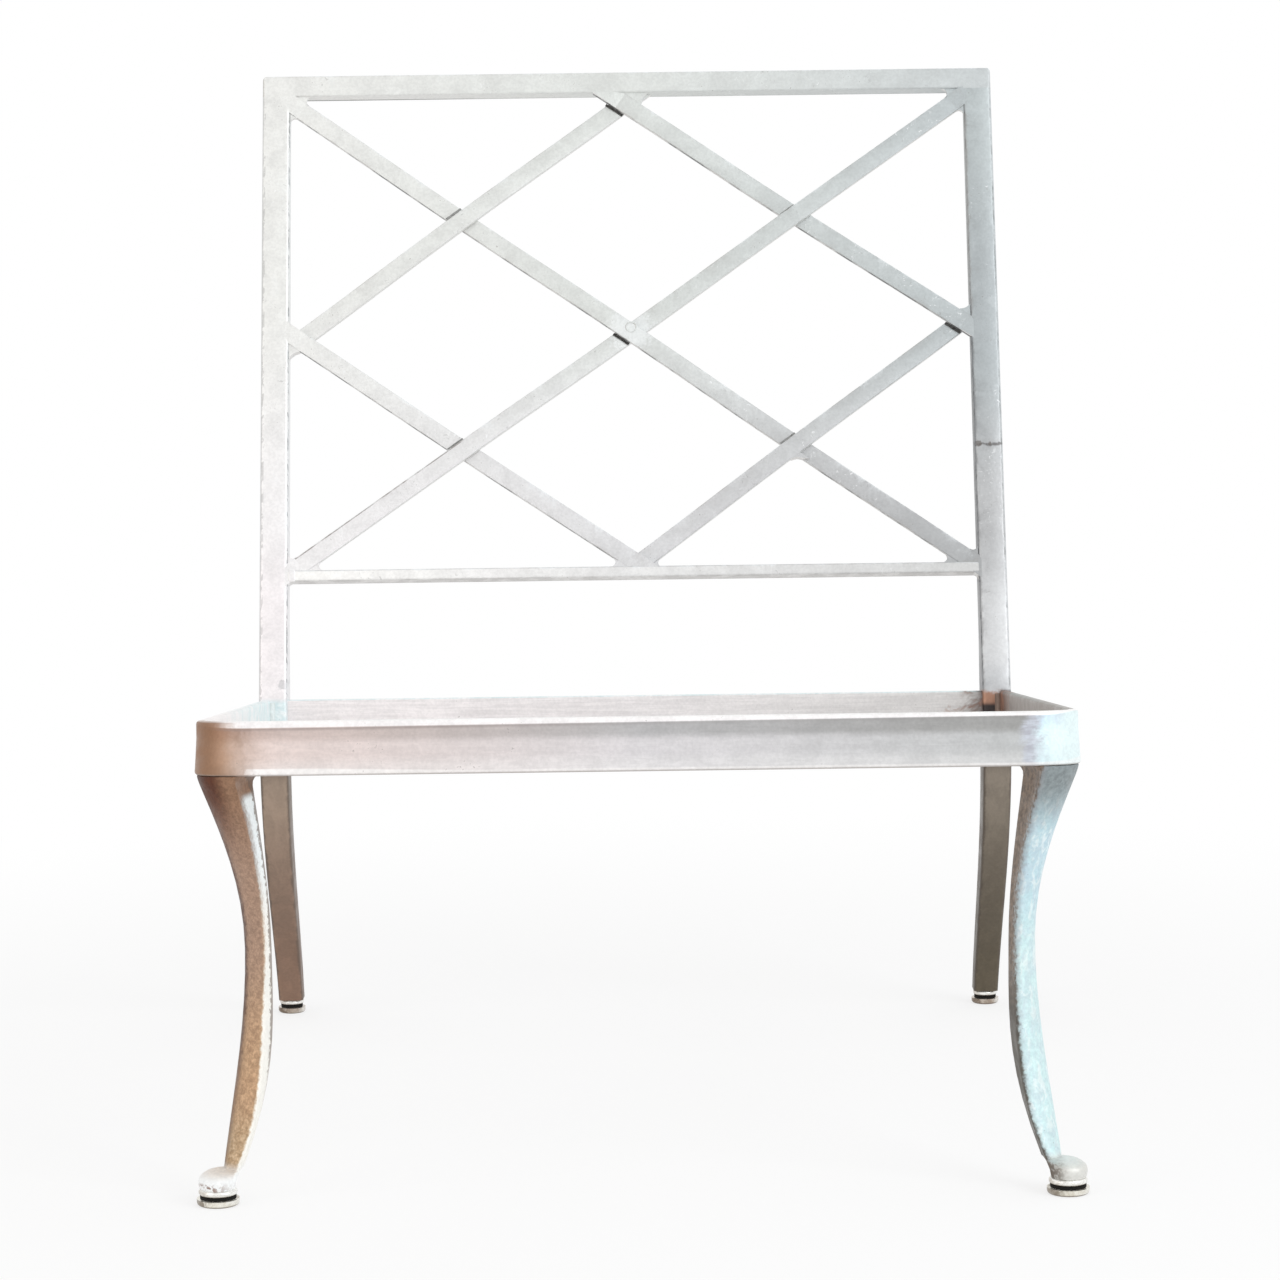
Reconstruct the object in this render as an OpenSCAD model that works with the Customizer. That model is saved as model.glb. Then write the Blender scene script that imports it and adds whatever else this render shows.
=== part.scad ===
// Armless outdoor lounge chair frame in cast and welded aluminium.
// X runs across the chair, Y from front to back, Z up from the floor. Units are millimetres.
// The origin lies on the floor, under the middle of the whole frame.

/* [Seat frame] */
// Width of the seat and the back, outside to outside
seat_w = 660; // [560:5:760]
// Length of the seat along its slope, from the front face to the back posts
seat_depth = 583; // [500:5:680]
// Height of the front rail's top edge above the floor
seat_front_h = 364.5; // [320:0.5:420]
// Fall of the seat towards the back, in degrees
seat_slope = 5.9; // [0:0.1:8]
// Height of the seat rails
rail_h = 40.5; // [34:0.5:50]
// Thickness of the seat rails
rail_t = 10; // [8.6:0.2:14]
// Radius of the seat frame's front corners, seen from above
corner_r = 42; // [38:1:60]
// Radius on the long edges of the seat rails
rail_edge_r = 2.5; // [1:0.25:3]
// How far the plain upper band of the outer face stands back from the lower edge
band_step = 1.6; // [0.4:0.1:2.4]
// Height of the plain upper band
band_h = 13; // [10:1:18]
// Distance of the rear rail behind the front face of the posts
rear_rail_set = 4; // [3:0.5:12]

/* [Back frame] */
// Lean of the back from upright, in degrees
back_angle = 19.2; // [12:0.1:26]
// Length of the back along its slope, from the seat to the top edge
back_len = 578; // [480:1:680]
// Width of the posts, seen from the front
post_w = 25; // [20:1:30]
// Depth of the posts at the foot of the back; they taper to the depth of the top rail
post_d = 26; // [20:1:34]
// Depth of the posts where the seat frame meets them
post_seat_d = 36; // [32:1:46]
// Radius on the long edges of the posts and rear legs
post_edge_r = 3; // [1.5:0.5:4.5]
// Height of the top rail
top_rail_h = 19.5; // [15:0.5:30]
// Depth of the top rail, front to back
top_rail_d = 15; // [14:0.5:20]
// Radius of the back's two upper outer corners
top_corner_r = 4.5; // [2:0.5:8]
// Clear height between the seat and the lower rail, along the back
lower_rail_up = 107; // [70:1:140]
// Height of the lower rail
lower_rail_h = 10; // [8:0.5:20]
// Depth of the lower rail, front to back
lower_rail_d = 14; // [13:0.5:18]
// Radius on the long edges of the two back rails
back_edge_r = 2; // [1:0.25:2.5]

/* [Lattice] */
// Width of the flat lattice bars
bar_w = 16; // [12:1:20]
// Thickness of the flat lattice bars
bar_t = 5; // [4:0.25:5.5]
// Radius on the long edges of the lattice bars
bar_edge_r = 1; // [0.5:0.25:1.25]
// How far below the top rail the long bars' middle lines meet the posts
long_bar_drop = 6; // [0:0.5:10]
// How far below the lower rail's top edge they meet the posts at their other ends
long_bar_sink = 3; // [0:0.5:6]
// How far in from the posts two short bars cross each other
side_cross_in = 8; // [5:0.5:12]
// How far below the top rail two short bars cross each other
top_cross_in = 9; // [5:0.5:12]
// How far above the lower rail two short bars cross each other
low_cross_in = 3; // [1:0.5:8]
// Turn of the diamond that the short bars form, in degrees
diamond_turn = 1; // [0:0.1:1.5]
// Radius of the weld fillets at the ends of the bars
bar_weld_r = 4.5; // [2:0.5:6]
// Thickness of the weld fillets at the ends of the bars
bar_weld_t = 3; // [1:0.1:3]
// Radius of the weld fillets between rails and posts
rail_weld_r = 4.5; // [2:0.5:6]

/* [Front legs] */
// Width of the leg under the seat frame
knee_w = 43; // [38:1:48]
// How far the leg stands in from the seat frame's outer face
knee_inset = 0.5; // [0.25:0.25:3]
// Height of the leg's narrowest place above the floor
waist_up = 187; // [150:1:220]
// How far the leg's outer side curves in at the narrowest place
waist_in = 33.3; // [24:0.1:42]
// Width of the leg at its narrowest place
waist_w = 20.5; // [18:0.5:28]
// Width of the ankle, just above the foot
ankle_w = 15.5; // [12:0.5:18]
// How far the ankle's outer side stands in from the foot's centre
ankle_in = 3.3; // [1:0.1:6]
// Radius of the fillet between the leg and the underside of the front rail
knee_fillet_r = 8; // [3:0.5:10]
// Distance of the front foot's centre from the chair's outer side
foot_in = 12.5; // [8:0.1:20]
// Largest radius of the front pad foot
foot_r = 14.6; // [13:0.1:18]
// Height of the pad foot's upright side, above its washer
pad_side_h = 5.5; // [3:0.5:8]
// Metal left above the screw's hole, up to the top of the pad foot
pad_cover = 3.5; // [2:0.5:8]

/* [Rear legs] */
// Distance of the rear foot's centre behind the back end of the seat
rear_foot_back = 129; // [80:1:160]
// Width of the rear leg at the floor, seen from the front
rear_foot_w = 22; // [18:1:24]
// Depth of the rear leg at the floor, front to back
rear_foot_d = 23; // [18:1:28]

/* [Glides] */
// Radius of a front glide's cup
front_glide_r = 16; // [14:0.25:18]
// Radius of a rear glide's cup
rear_glide_r = 12.25; // [11:0.25:14]
// Height of the metal cup under each glide
cup_h = 5; // [4:0.25:7]
// Depth of the cup's hollow that holds the rubber cushion
cup_recess = 1.5; // [1:0.25:2]
// Height of the rubber cushion
cushion_h = 4; // [3:0.25:6.5]
// Height of the washer above the cushion
washer_h = 5; // [2:0.25:6]
// How far the washer stands back inside the cup's rim
washer_inset = 1.4; // [1:0.1:2.5]
// How far the cushion stands back inside the washer
cushion_inset = 1; // [0.6:0.1:2]
// Radius of the glide screw's shank
screw_r = 3; // [2:0.25:3.5]
// Length of the glide screw inside the leg
screw_grip = 9; // [8:1:13]
// Gap all round the glide screw
screw_gap = 0.2; // [0.1:0.05:0.3]
// Radius of the glide screw's head
screw_head_r = 5.5; // [4.5:0.25:6.5]
// Height of the glide screw's head
screw_head_h = 2.4; // [1.5:0.1:2.8]

/* [Hidden] */
$fn = 48;

cast_tone = [0.80, 0.81, 0.80];
weld_tone = [0.72, 0.73, 0.72];
nickel_tone = [0.70, 0.70, 0.66];
steel_tone = [0.62, 0.62, 0.60];
rubber_tone = [0.08, 0.08, 0.08];

left = -1;
right = 1;
front = -1;
half_w = seat_w / 2;
post_x = half_w - post_w / 2;
post_inner_x = half_w - post_w;

// Place of the seat's rear end, before the frame is centred on the origin
seat_end_y = seat_depth * cos(seat_slope);
seat_end_z = seat_front_h - seat_depth * sin(seat_slope);

// The frame's extent in Y sets the shift that centres it
glide_h = cup_h - cup_recess + cushion_h + washer_h;
rail_drop_y = rail_h * sin(seat_slope);
foot_y = foot_in - rail_drop_y;
foot_front_y = foot_y - max(foot_r, front_glide_r);
back_rear_y = seat_end_y + back_edge_r + (back_len - back_edge_r) * sin(back_angle)
    + (top_rail_d - back_edge_r) * cos(back_angle);
rear_foot_y = seat_end_y + rear_foot_back;
frame_front_y = min(foot_front_y, -(rail_h - rail_edge_r) * sin(seat_slope));
frame_rear_y = max(back_rear_y, rear_foot_y + rear_glide_r);
shift_y = -(frame_front_y + frame_rear_y) / 2;

// Lattice opening, measured in the plane of the back
panel_low = lower_rail_up + lower_rail_h;
panel_high = back_len - top_rail_h;
// Middle plane of the weave: a bar that passes in front lies level with the rails' edge rounding
lattice_y = back_edge_r + bar_t;

// Sides of the opening, each a line from one point to another
top_side = [[-post_inner_x, panel_high], [post_inner_x, panel_high]];
low_side = [[-post_inner_x, panel_low], [post_inner_x, panel_low]];
left_side = [[-post_inner_x, panel_low], [-post_inner_x, panel_high]];
right_side = [[post_inner_x, panel_low], [post_inner_x, panel_high]];

// Middle lines of the bars. The short bars are the sides of a diamond that is turned a little
long_high = panel_high - long_bar_drop;
long_low = panel_low - long_bar_sink;
diamond_half_w = post_inner_x - side_cross_in;
diamond_half_h = (panel_high - top_cross_in - panel_low - low_cross_in) / 2;
diamond_mid = panel_low + low_cross_in + diamond_half_h;
function diamond_corner(p) = [
    p[0] * cos(diamond_turn) - p[1] * sin(diamond_turn),
    diamond_mid + p[0] * sin(diamond_turn) + p[1] * cos(diamond_turn)
];
cross_left = diamond_corner([-diamond_half_w, 0]);
cross_right = diamond_corner([diamond_half_w, 0]);
cross_top = diamond_corner([0, diamond_half_h]);
cross_low = diamond_corner([0, -diamond_half_h]);
falling = [[-post_inner_x, long_high], [post_inner_x, long_low]];
rising = [[-post_inner_x, long_low], [post_inner_x, long_high]];
upper_left = [cross_left, cross_top];
upper_right = [cross_top, cross_right];
lower_left = [cross_left, cross_low];
lower_right = [cross_low, cross_right];

// Length of a line, and the way along line a to the place where line b crosses it
function length(a) = norm(a[1] - a[0]);
function cross_2d(u, v) = u[0] * v[1] - u[1] * v[0];
function crossing(a, b) =
    cross_2d(b[0] - a[0], b[1] - b[0]) / cross_2d(unit(a[1] - a[0]), b[1] - b[0]);

// Each bar lies flat for this length on either side of a crossing, with a little to spare
bar_angle = atan2(long_high - long_low, 2 * post_inner_x);
crossing_spare = 1.5;
crossing_flat = bar_w / 2 * (1 + abs(cos(2 * bar_angle))) / sin(2 * bar_angle) + crossing_spare;
// Bars are run past their ends by this much and cut off at the rails and posts
bar_overrun = (max(side_cross_in, top_cross_in, low_cross_in) + bar_w) / sin(bar_angle);

// Points on a cubic curve, and its direction
function curve(p, t) =
    pow(1 - t, 3) * p[0] + 3 * t * pow(1 - t, 2) * p[1] + 3 * t * t * (1 - t) * p[2] + pow(t, 3) * p[3];
function curve_run(p, t) =
    3 * pow(1 - t, 2) * (p[1] - p[0]) + 6 * t * (1 - t) * (p[2] - p[1]) + 3 * t * t * (p[3] - p[2]);
function unit(v) = v / norm(v);
function mix(a, b, t) = a + (b - a) * t;
function ease(t) = 0.5 - 0.5 * cos(180 * t);

// Outline of a rectangle with round corners, centred in x and starting at y = 0
edge_steps = 3;
function round_rect(w, d, r) = [
    for (c = [[1, 1, 0], [-1, 1, 90], [-1, -1, 180], [1, -1, 270]])
        for (k = [0:edge_steps])
            let (a = c[2] + 90 * k / edge_steps)
                [c[0] * (w / 2 - r) + r * cos(a), d / 2 + c[1] * (d / 2 - r) + r * sin(a)]
];

// Solid skinned over a list of rings that all have the same number of points
module skin(rings) {
    n = len(rings[0]);
    m = len(rings);
    polyhedron(
        points = [for (ring = rings) for (p = ring) p],
        faces = concat(
            [[for (k = [0:n - 1]) k]],
            [for (j = [0:m - 2]) for (k = [0:n - 1])
                let (k2 = (k + 1) % n) [j * n + k, (j + 1) * n + k, (j + 1) * n + k2]],
            [for (j = [0:m - 2]) for (k = [0:n - 1])
                let (k2 = (k + 1) % n) [j * n + k, (j + 1) * n + k2, j * n + k2]],
            [[for (k = [n - 1:-1:0]) (m - 1) * n + k]]
        ),
        convexity = 6
    );
}

// Frames of reference: the sloping seat, and the leaning back
module seat_plane() {
    translate([0, shift_y, seat_front_h]) rotate([-seat_slope, 0, 0]) children();
}

module back_plane() {
    translate([0, shift_y + seat_end_y, seat_end_z]) rotate([-back_angle, 0, 0]) children();
}

// Rectangle with true round corners, from its lower left corner
module round_rect_2d(w, h, r) {
    translate([r, 0]) square([w - 2 * r, h]);
    translate([0, r]) square([w, h - 2 * r]);
    for (x = [r, w - r], y = [r, h - r]) translate([x, y]) circle(r);
}

// Rectangle with its two upper corners round
module round_top_2d(w, h, r) {
    square([w, h - r]);
    translate([r, 0]) square([w - 2 * r, h]);
    for (x = [r, w - r]) translate([x, h - r]) circle(r);
}

// Points of a quarter round about a centre, from the given angle on
function quarter_round(centre, r, from) = [
    for (k = [0:edge_steps])
        let (a = from + 90 * k / edge_steps) centre + r * [cos(a), sin(a)]
];

// Seat rail in section: x is inwards from the outer face, y is up to the top edge at 0.
// Below its plain band the outer face slopes out to the lower edge
module rail_section() {
    r = rail_edge_r;
    polygon(concat(
        quarter_round([rail_t - r, -r], r, 0),
        quarter_round([band_step + r, -r], r, 90),
        [[band_step, -band_h]],
        quarter_round([r, r - rail_h], r, 180),
        quarter_round([rail_t - r, r - rail_h], r, 270)
    ));
}

// Front rail: a straight run with a round corner at each end
module seat_front_rail() {
    color(cast_tone) seat_plane() {
        straight_half = half_w - corner_r;
        translate([-straight_half, 0, 0]) rotate([90, 0, 90])
            linear_extrude(height = 2 * straight_half) rail_section();
        for (side = [left, right])
            translate([side * straight_half, corner_r, 0])
                rotate([0, 0, side == right ? -90 : 180])
                    rotate_extrude(angle = 90)
                        translate([corner_r, 0]) mirror([1, 0]) rail_section();
    }
}

// Side rail: from the front corner back to the post
module seat_side_rail(side) {
    color(cast_tone) seat_plane()
        mirror([side == right ? 1 : 0, 0, 0])
            translate([-half_w, seat_depth, 0]) rotate([90, 0, 0])
                linear_extrude(height = seat_depth - corner_r) rail_section();
}

// Rear rail: between the two posts
module seat_rear_rail() {
    color(cast_tone) seat_plane()
        translate([-post_inner_x, seat_depth + rear_rail_set + rail_t, 0]) rotate([90, 0, 90])
            linear_extrude(height = 2 * post_inner_x) mirror([1, 0]) rail_section();
}

// Front edge of post and rear leg, seen from the side, with the way to the rear edge:
// each station is [y, z, direction y, direction z, depth, width]
back_up = [sin(back_angle), cos(back_angle)];
back_in = [cos(back_angle), -sin(back_angle)];
seat_up = [sin(seat_slope), cos(seat_slope)];
seat_in = [cos(seat_slope), -sin(seat_slope)];
seat_end = [seat_end_y, seat_end_z];
leg_top = seat_end - rail_h * seat_up;
leg_foot = [rear_foot_y - rear_foot_d / 2, glide_h];
// The leg leaves the seat square to it, and sweeps back to the floor
sweep_top = 100;
sweep_foot = 95;
sweep_angle = 27;
rear_leg_edge = [
    leg_top, leg_top - sweep_top * seat_up,
    leg_foot + sweep_foot * [-sin(sweep_angle), cos(sweep_angle)], leg_foot
];
rear_leg_steps = 14;
// Height above the seat over which the post thins from its seat depth to its depth in the back
post_blend_h = 70;
post_blend_steps = 5;

function station(p, dir, depth, width) = [p[0], p[1], dir[0], dir[1], depth, width];
function rear_leg_station(t) =
    let (run = unit(curve_run(rear_leg_edge, t)))
        station(curve(rear_leg_edge, t), [-run[1], run[0]],
            mix(post_seat_d, rear_foot_d, ease(t)), mix(post_w, rear_foot_w, t));

post_stations = concat(
    [station(seat_end + panel_high * back_up, back_in, top_rail_d, post_w)],
    [for (k = [post_blend_steps:-1:1])
        let (t = k / post_blend_steps)
            station(seat_end + t * post_blend_h * back_up, back_in,
                mix(post_seat_d, post_d, ease(t)), post_w)],
    [station(seat_end, unit(back_in + seat_in), post_seat_d, post_w)],
    [station(seat_end - rail_h / 2 * seat_up, seat_in, post_seat_d, post_w)],
    [station(leg_top, seat_in, post_seat_d, post_w)],
    [for (k = [1:rear_leg_steps - 1]) rear_leg_station(k / rear_leg_steps)],
    [station(leg_foot, [1, 0], rear_foot_d, rear_foot_w)]
);

// One casting from the top rail down to the floor
module back_post(side) {
    color(cast_tone) difference() {
        translate([side * post_x, shift_y, 0])
            skin([
                for (s = post_stations)
                    [for (p = round_rect(s[5], s[4], post_edge_r))
                        [-p[0], s[0] + p[1] * s[2], s[1] + p[1] * s[3]]]
            ]);
        translate([side * post_x, shift_y + rear_foot_y, glide_h]) screw_hole();
    }
}

// Top rail: lies across both posts and carries on their outline at its ends
module back_top_rail() {
    color(cast_tone) back_plane() intersection() {
        union() {
            translate([-half_w, 0, panel_high]) rotate([90, 0, 90])
                linear_extrude(height = seat_w) round_rect_2d(top_rail_d, top_rail_h, back_edge_r);
            for (x = [-half_w, post_inner_x])
                translate([x, 0, panel_high]) cube([post_w, top_rail_d, top_rail_h - back_edge_r]);
        }
        translate([-half_w, 0, panel_high])
            linear_extrude(height = top_rail_h) round_rect_2d(seat_w, top_rail_d, post_edge_r);
        translate([0, top_rail_d, 0]) rotate([90, 0, 0]) linear_extrude(height = top_rail_d)
            translate([-half_w, panel_high]) round_top_2d(seat_w, top_rail_h, top_corner_r);
    }
}

// Lower rail: between the posts, with the lattice standing on it
module back_lower_rail() {
    color(cast_tone) back_plane()
        translate([-post_inner_x, lattice_y - lower_rail_d / 2, lower_rail_up]) rotate([90, 0, 90])
            linear_extrude(height = 2 * post_inner_x)
                round_rect_2d(lower_rail_d, lower_rail_h, back_edge_r);
}

// Places of a bar along its length: in front of the weave's middle plane, or behind it
over = -bar_t / 2;
under = bar_t / 2;
// Depth of a woven bar, from a list of [way along the bar, place]
weave_steps = 6;
function weave_stations(weave) = [
    for (j = [0:len(weave) - 2])
        let (a = weave[j][0] + crossing_flat, b = weave[j + 1][0] - crossing_flat)
            for (k = [0:weave_steps])
                [mix(a, b, k / weave_steps), mix(weave[j][1], weave[j + 1][1], ease(k / weave_steps))]
];

// A bar along its middle line, cut off flush at the rails and posts
module lattice_bar(line, weave) {
    run = line[1] - line[0];
    last = weave[len(weave) - 1];
    stations = concat(
        [[-bar_overrun, weave[0][1]]], weave_stations(weave), [[last[0] + bar_overrun, last[1]]]
    );
    color(cast_tone) back_plane() intersection() {
        translate([line[0][0], lattice_y, line[0][1]]) rotate([0, -atan2(run[1], run[0]), 0])
            skin([
                for (s = stations)
                    [for (p = round_rect(bar_w, bar_t, bar_edge_r)) [s[0], s[1] + p[1] - bar_t / 2, -p[0]]]
            ]);
        translate([-post_inner_x, 0, panel_low])
            cube([2 * post_inner_x, top_rail_d, panel_high - panel_low]);
    }
}

// The two long bars go over and under from corner to corner
module long_bar_falling()
    lattice_bar(falling, [
        [0, over], [crossing(falling, upper_left), under], [crossing(falling, rising), over],
        [crossing(falling, lower_right), under], [length(falling), over]
    ]);
module long_bar_rising()
    lattice_bar(rising, [
        [0, over], [crossing(rising, lower_left), over], [crossing(rising, falling), under],
        [crossing(rising, upper_right), over], [length(rising), over]
    ]);

// The four short bars cross each other beside the rails and posts, and a long bar between
module short_bar(line, long_line, at_ends)
    lattice_bar(line, [[0, at_ends], [crossing(line, long_line), -at_ends], [length(line), at_ends]]);
module short_bar_upper_left() short_bar(upper_left, falling, under);
module short_bar_upper_right() short_bar(upper_right, rising, over);
module short_bar_lower_left() short_bar(lower_left, rising, over);
module short_bar_lower_right() short_bar(lower_right, falling, under);

// Concave weld fillet in the corner between two straight edges that leave a point
module weld_fillet_2d(corner, dir_a, dir_b, r) {
    half = acos(dir_a * dir_b) / 2;
    reach = r / tan(half);
    middle = corner + unit(dir_a + dir_b) * r / sin(half);
    difference() {
        polygon([corner, corner + dir_a * reach, middle, corner + dir_b * reach]);
        translate(middle) circle(r);
    }
}

// Fillet where the edge of a bar meets a side of the opening. The edge is 1 for the bar's upper edge
// and -1 for its lower one; the two ways, 1 or -1, leave the corner along the bar and along the side
module bar_fillet(line, edge, bar_way, side_line, side_way) {
    run = unit(line[1] - line[0]);
    rim = [for (p = line) p + edge * bar_w / 2 * [-run[1], run[0]]];
    weld_fillet_2d(rim[0] + run * crossing(rim, side_line),
        bar_way * run, side_way * unit(side_line[1] - side_line[0]), bar_weld_r);
}

// Weld metal beside a bar that lies at the given place
module bead(place) {
    translate([0, lattice_y + place + bar_weld_t / 2, 0])
        rotate([90, 0, 0]) linear_extrude(height = bar_weld_t) children();
}

module lattice_welds() {
    color(weld_tone) back_plane() {
        bead(over) {
            bar_fillet(falling, 1, 1, top_side, 1);
            bar_fillet(falling, -1, 1, left_side, -1);
            bar_fillet(falling, 1, -1, right_side, 1);
            bar_fillet(falling, -1, -1, low_side, -1);
            bar_fillet(rising, 1, 1, left_side, 1);
            bar_fillet(rising, -1, 1, low_side, 1);
            bar_fillet(rising, 1, -1, top_side, -1);
            bar_fillet(rising, -1, -1, right_side, -1);
            bar_fillet(upper_right, 1, 1, top_side, 1);
            bar_fillet(upper_right, 1, -1, right_side, 1);
            bar_fillet(lower_left, -1, 1, left_side, -1);
            bar_fillet(lower_left, -1, -1, low_side, -1);
        }
        bead(under) {
            bar_fillet(upper_left, 1, 1, left_side, 1);
            bar_fillet(upper_left, 1, -1, top_side, -1);
            bar_fillet(lower_right, -1, 1, low_side, 1);
            bar_fillet(lower_right, -1, -1, right_side, -1);
        }
    }
}

// Fillets under each end of the lower rail
module lower_rail_welds() {
    weld_t = lower_rail_d - 2 * back_edge_r;
    color(weld_tone) back_plane()
        translate([0, lattice_y + weld_t / 2, 0]) rotate([90, 0, 0]) linear_extrude(height = weld_t)
            for (side = [left, right])
                weld_fillet_2d([side * post_inner_x, lower_rail_up], [-side, 0], [0, -1], rail_weld_r);
}

// Upright fillets where the side and rear rails meet the posts
module seat_frame_welds() {
    weld_h = rail_h - 2 * rail_edge_r;
    side_inner_x = half_w - rail_t;
    color(weld_tone) seat_plane()
        translate([0, 0, rail_edge_r - rail_h]) linear_extrude(height = weld_h)
            for (side = [left, right]) {
                weld_fillet_2d([side * side_inner_x, seat_depth], [-side, 0], [0, front], rail_weld_r);
                weld_fillet_2d([side * post_inner_x, seat_depth + rear_rail_set + rail_t],
                    [-side, 0], [0, 1], rail_weld_r);
            }
}

// Front leg. Its two sides are curves of [distance from the chair's middle, height], the knee
// being level with the rail's underside; the leg is alike about the diagonal, so the same curves
// shape it from front to back
foot_x = half_w - foot_in;
ankle_up = glide_h + screw_grip + pad_cover;
toe_z = glide_h + pad_side_h;
outer_knee = [half_w - knee_inset, seat_front_h - rail_h * cos(seat_slope)];
inner_knee = outer_knee - [knee_w, 0];
outer_waist = [half_w - waist_in, waist_up];
inner_waist = outer_waist - [waist_w, 0];
outer_ankle = [foot_x - ankle_in, ankle_up];
inner_ankle = outer_ankle - [ankle_w, 0];

// Handles of the side curves, as steps of [across, up]: down from the knee, up and down from the
// waist, and up from the ankle
outer_knee_pull = [-8.5, -21];
inner_knee_pull = [-2.8, -30];
outer_waist_rise = [0, 68];
inner_waist_rise = [0, 45];
outer_waist_fall = [0, -60];
inner_waist_fall = [0, -57];
outer_ankle_pull = [-5, 30];
inner_ankle_pull = [-26, 70];
outer_upper = [outer_knee, outer_knee + outer_knee_pull, outer_waist + outer_waist_rise, outer_waist];
inner_upper = [inner_knee, inner_knee + inner_knee_pull, inner_waist + inner_waist_rise, inner_waist];
outer_lower = [outer_waist, outer_waist + outer_waist_fall, outer_ankle + outer_ankle_pull, outer_ankle];
inner_lower = [inner_waist, inner_waist + inner_waist_fall, inner_ankle + inner_ankle_pull, inner_ankle];

// Section of the leg in a unit square, [0, 0] at its inner corner: a broad round outer face
// between two ridges, and two inner faces that draw in to the inner corner
arc_steps = 10;
function leg_section(fullness, ridge) =
    let (c = 1 - fullness, a0 = acos((ridge - c) / fullness))
        concat(
            [for (k = [0:arc_steps])
                let (a = mix(90 - a0, a0, k / arc_steps)) [c + fullness * cos(a), c + fullness * sin(a)]],
            [[ridge - 0.05, 0.93], [ridge * 0.62, 0.62], [ridge * 0.30, 0.30]],
            [[0.03, 0.14], [0.05, 0.05], [0.14, 0.03]],
            [[0.30, ridge * 0.30], [0.62, ridge * 0.62], [0.93, ridge - 0.05]]
        );

// A ring between an inner and an outer point of the leg's two sides, falling towards the back
function leg_ring(inner, outer, section, fall) = [
    for (p = section)
        let (back = half_w - mix(inner[0], outer[0], p[1]))
            [mix(inner[0], outer[0], p[0]), back, mix(inner[1], outer[1], (p[0] + p[1]) / 2) - fall * back]
];

// A ring that turns the section into the round pad of the foot
function foot_ring(inner_x, outer_x, z, roundness) = [
    for (p = leg_section(ankle_fullness, ankle_ridge))
        let (a = atan2(p[1] - 0.5, p[0] - 0.5), q = [0.5 + 0.5 * cos(a), 0.5 + 0.5 * sin(a)],
            s = mix(p, q, roundness))
            [mix(inner_x, outer_x, s[0]), half_w - mix(inner_x, outer_x, s[1]), z]
];

knee_fullness = 0.93;
waist_fullness = 0.84;
ankle_fullness = 0.8;
knee_ridge = 0.32;
waist_ridge = 0.24;
ankle_ridge = 0.22;
leg_steps = 9;
foot_steps = 7;
fillet_steps = 4;
// The pad's lower edge draws in a little towards the washer
sole_inset = 1.2;
sole_turn = 90;
sole_steps = 3;
// Below 1, this draws the pad's round shoulder out towards a square one
pad_shoulder = 0.75;
// The leg is made this much too long at the knee, and trimmed by the rail's underside
knee_trim = 1;
// Share of the upper curves that the knee's fillet takes
fillet_span = knee_fillet_r / (3 * (inner_upper[0] - inner_upper[1])[1]);

function upper_ring(t, flare) =
    leg_ring(curve(inner_upper, t) - [flare, 0], curve(outer_upper, t),
        leg_section(mix(knee_fullness, waist_fullness, t), mix(knee_ridge, waist_ridge, t)),
        mix(tan(seat_slope), 0, ease(t)));

knee_rings = concat(
    [[for (p = upper_ring(0, knee_fillet_r)) p + [0, 0, knee_trim]]],
    [for (k = [0:fillet_steps - 1])
        let (a = 90 * k / fillet_steps)
            upper_ring(fillet_span * (1 - cos(a)), knee_fillet_r * (1 - sin(a)))]
);
upper_rings = [for (k = [0:leg_steps]) upper_ring(mix(fillet_span, 1, k / leg_steps), 0)];
lower_rings = [
    for (k = [1:leg_steps])
        let (t = k / leg_steps)
            leg_ring(curve(inner_lower, t), curve(outer_lower, t),
                leg_section(mix(waist_fullness, ankle_fullness, t), mix(waist_ridge, ankle_ridge, t)), 0)
];
pad_rings = concat(
    [for (k = [1:foot_steps])
        let (a = 90 * k / foot_steps)
            foot_ring(mix(inner_ankle[0], foot_x - foot_r, 1 - cos(a)),
                mix(outer_ankle[0], foot_x + foot_r, pow(sin(a), pad_shoulder)),
                mix(toe_z, ankle_up, pow(cos(a), pad_shoulder)), sin(a))],
    [for (k = [1:sole_steps])
        let (t = k / sole_steps, inset = sole_inset * (1 - cos(sole_turn * t)))
            foot_ring(foot_x - foot_r + inset, foot_x + foot_r - inset, mix(toe_z, glide_h, t), 1)]
);

module front_leg(side) {
    color(cast_tone) difference() {
        mirror([side == left ? 1 : 0, 0, 0])
            translate([0, shift_y - rail_drop_y, 0])
                skin(concat(knee_rings, upper_rings, lower_rings, pad_rings));
        seat_plane() translate([-seat_w, -seat_w / 2, -rail_h]) cube([2 * seat_w, seat_w, rail_h]);
        translate([side * foot_x, shift_y + foot_y, glide_h]) screw_hole();
    }
}

// Blind hole for the glide screw, in the end of a leg. It is cut from a little below the end
cut_over = 1;
module screw_hole() {
    translate([0, 0, -cut_over])
        cylinder(r = screw_r + screw_gap, h = cut_over + screw_grip + screw_gap);
}

// Glide, in its order from the floor up: cup, rubber cushion, washer, and the screw through them
cup_wall = 1.2;
cup_bowl_r = 2.6;
cushion_gap = 0.3;
function washer_r(cup_r) = cup_r - washer_inset;
function cushion_r(cup_r) = washer_r(cup_r) - cushion_inset;

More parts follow.
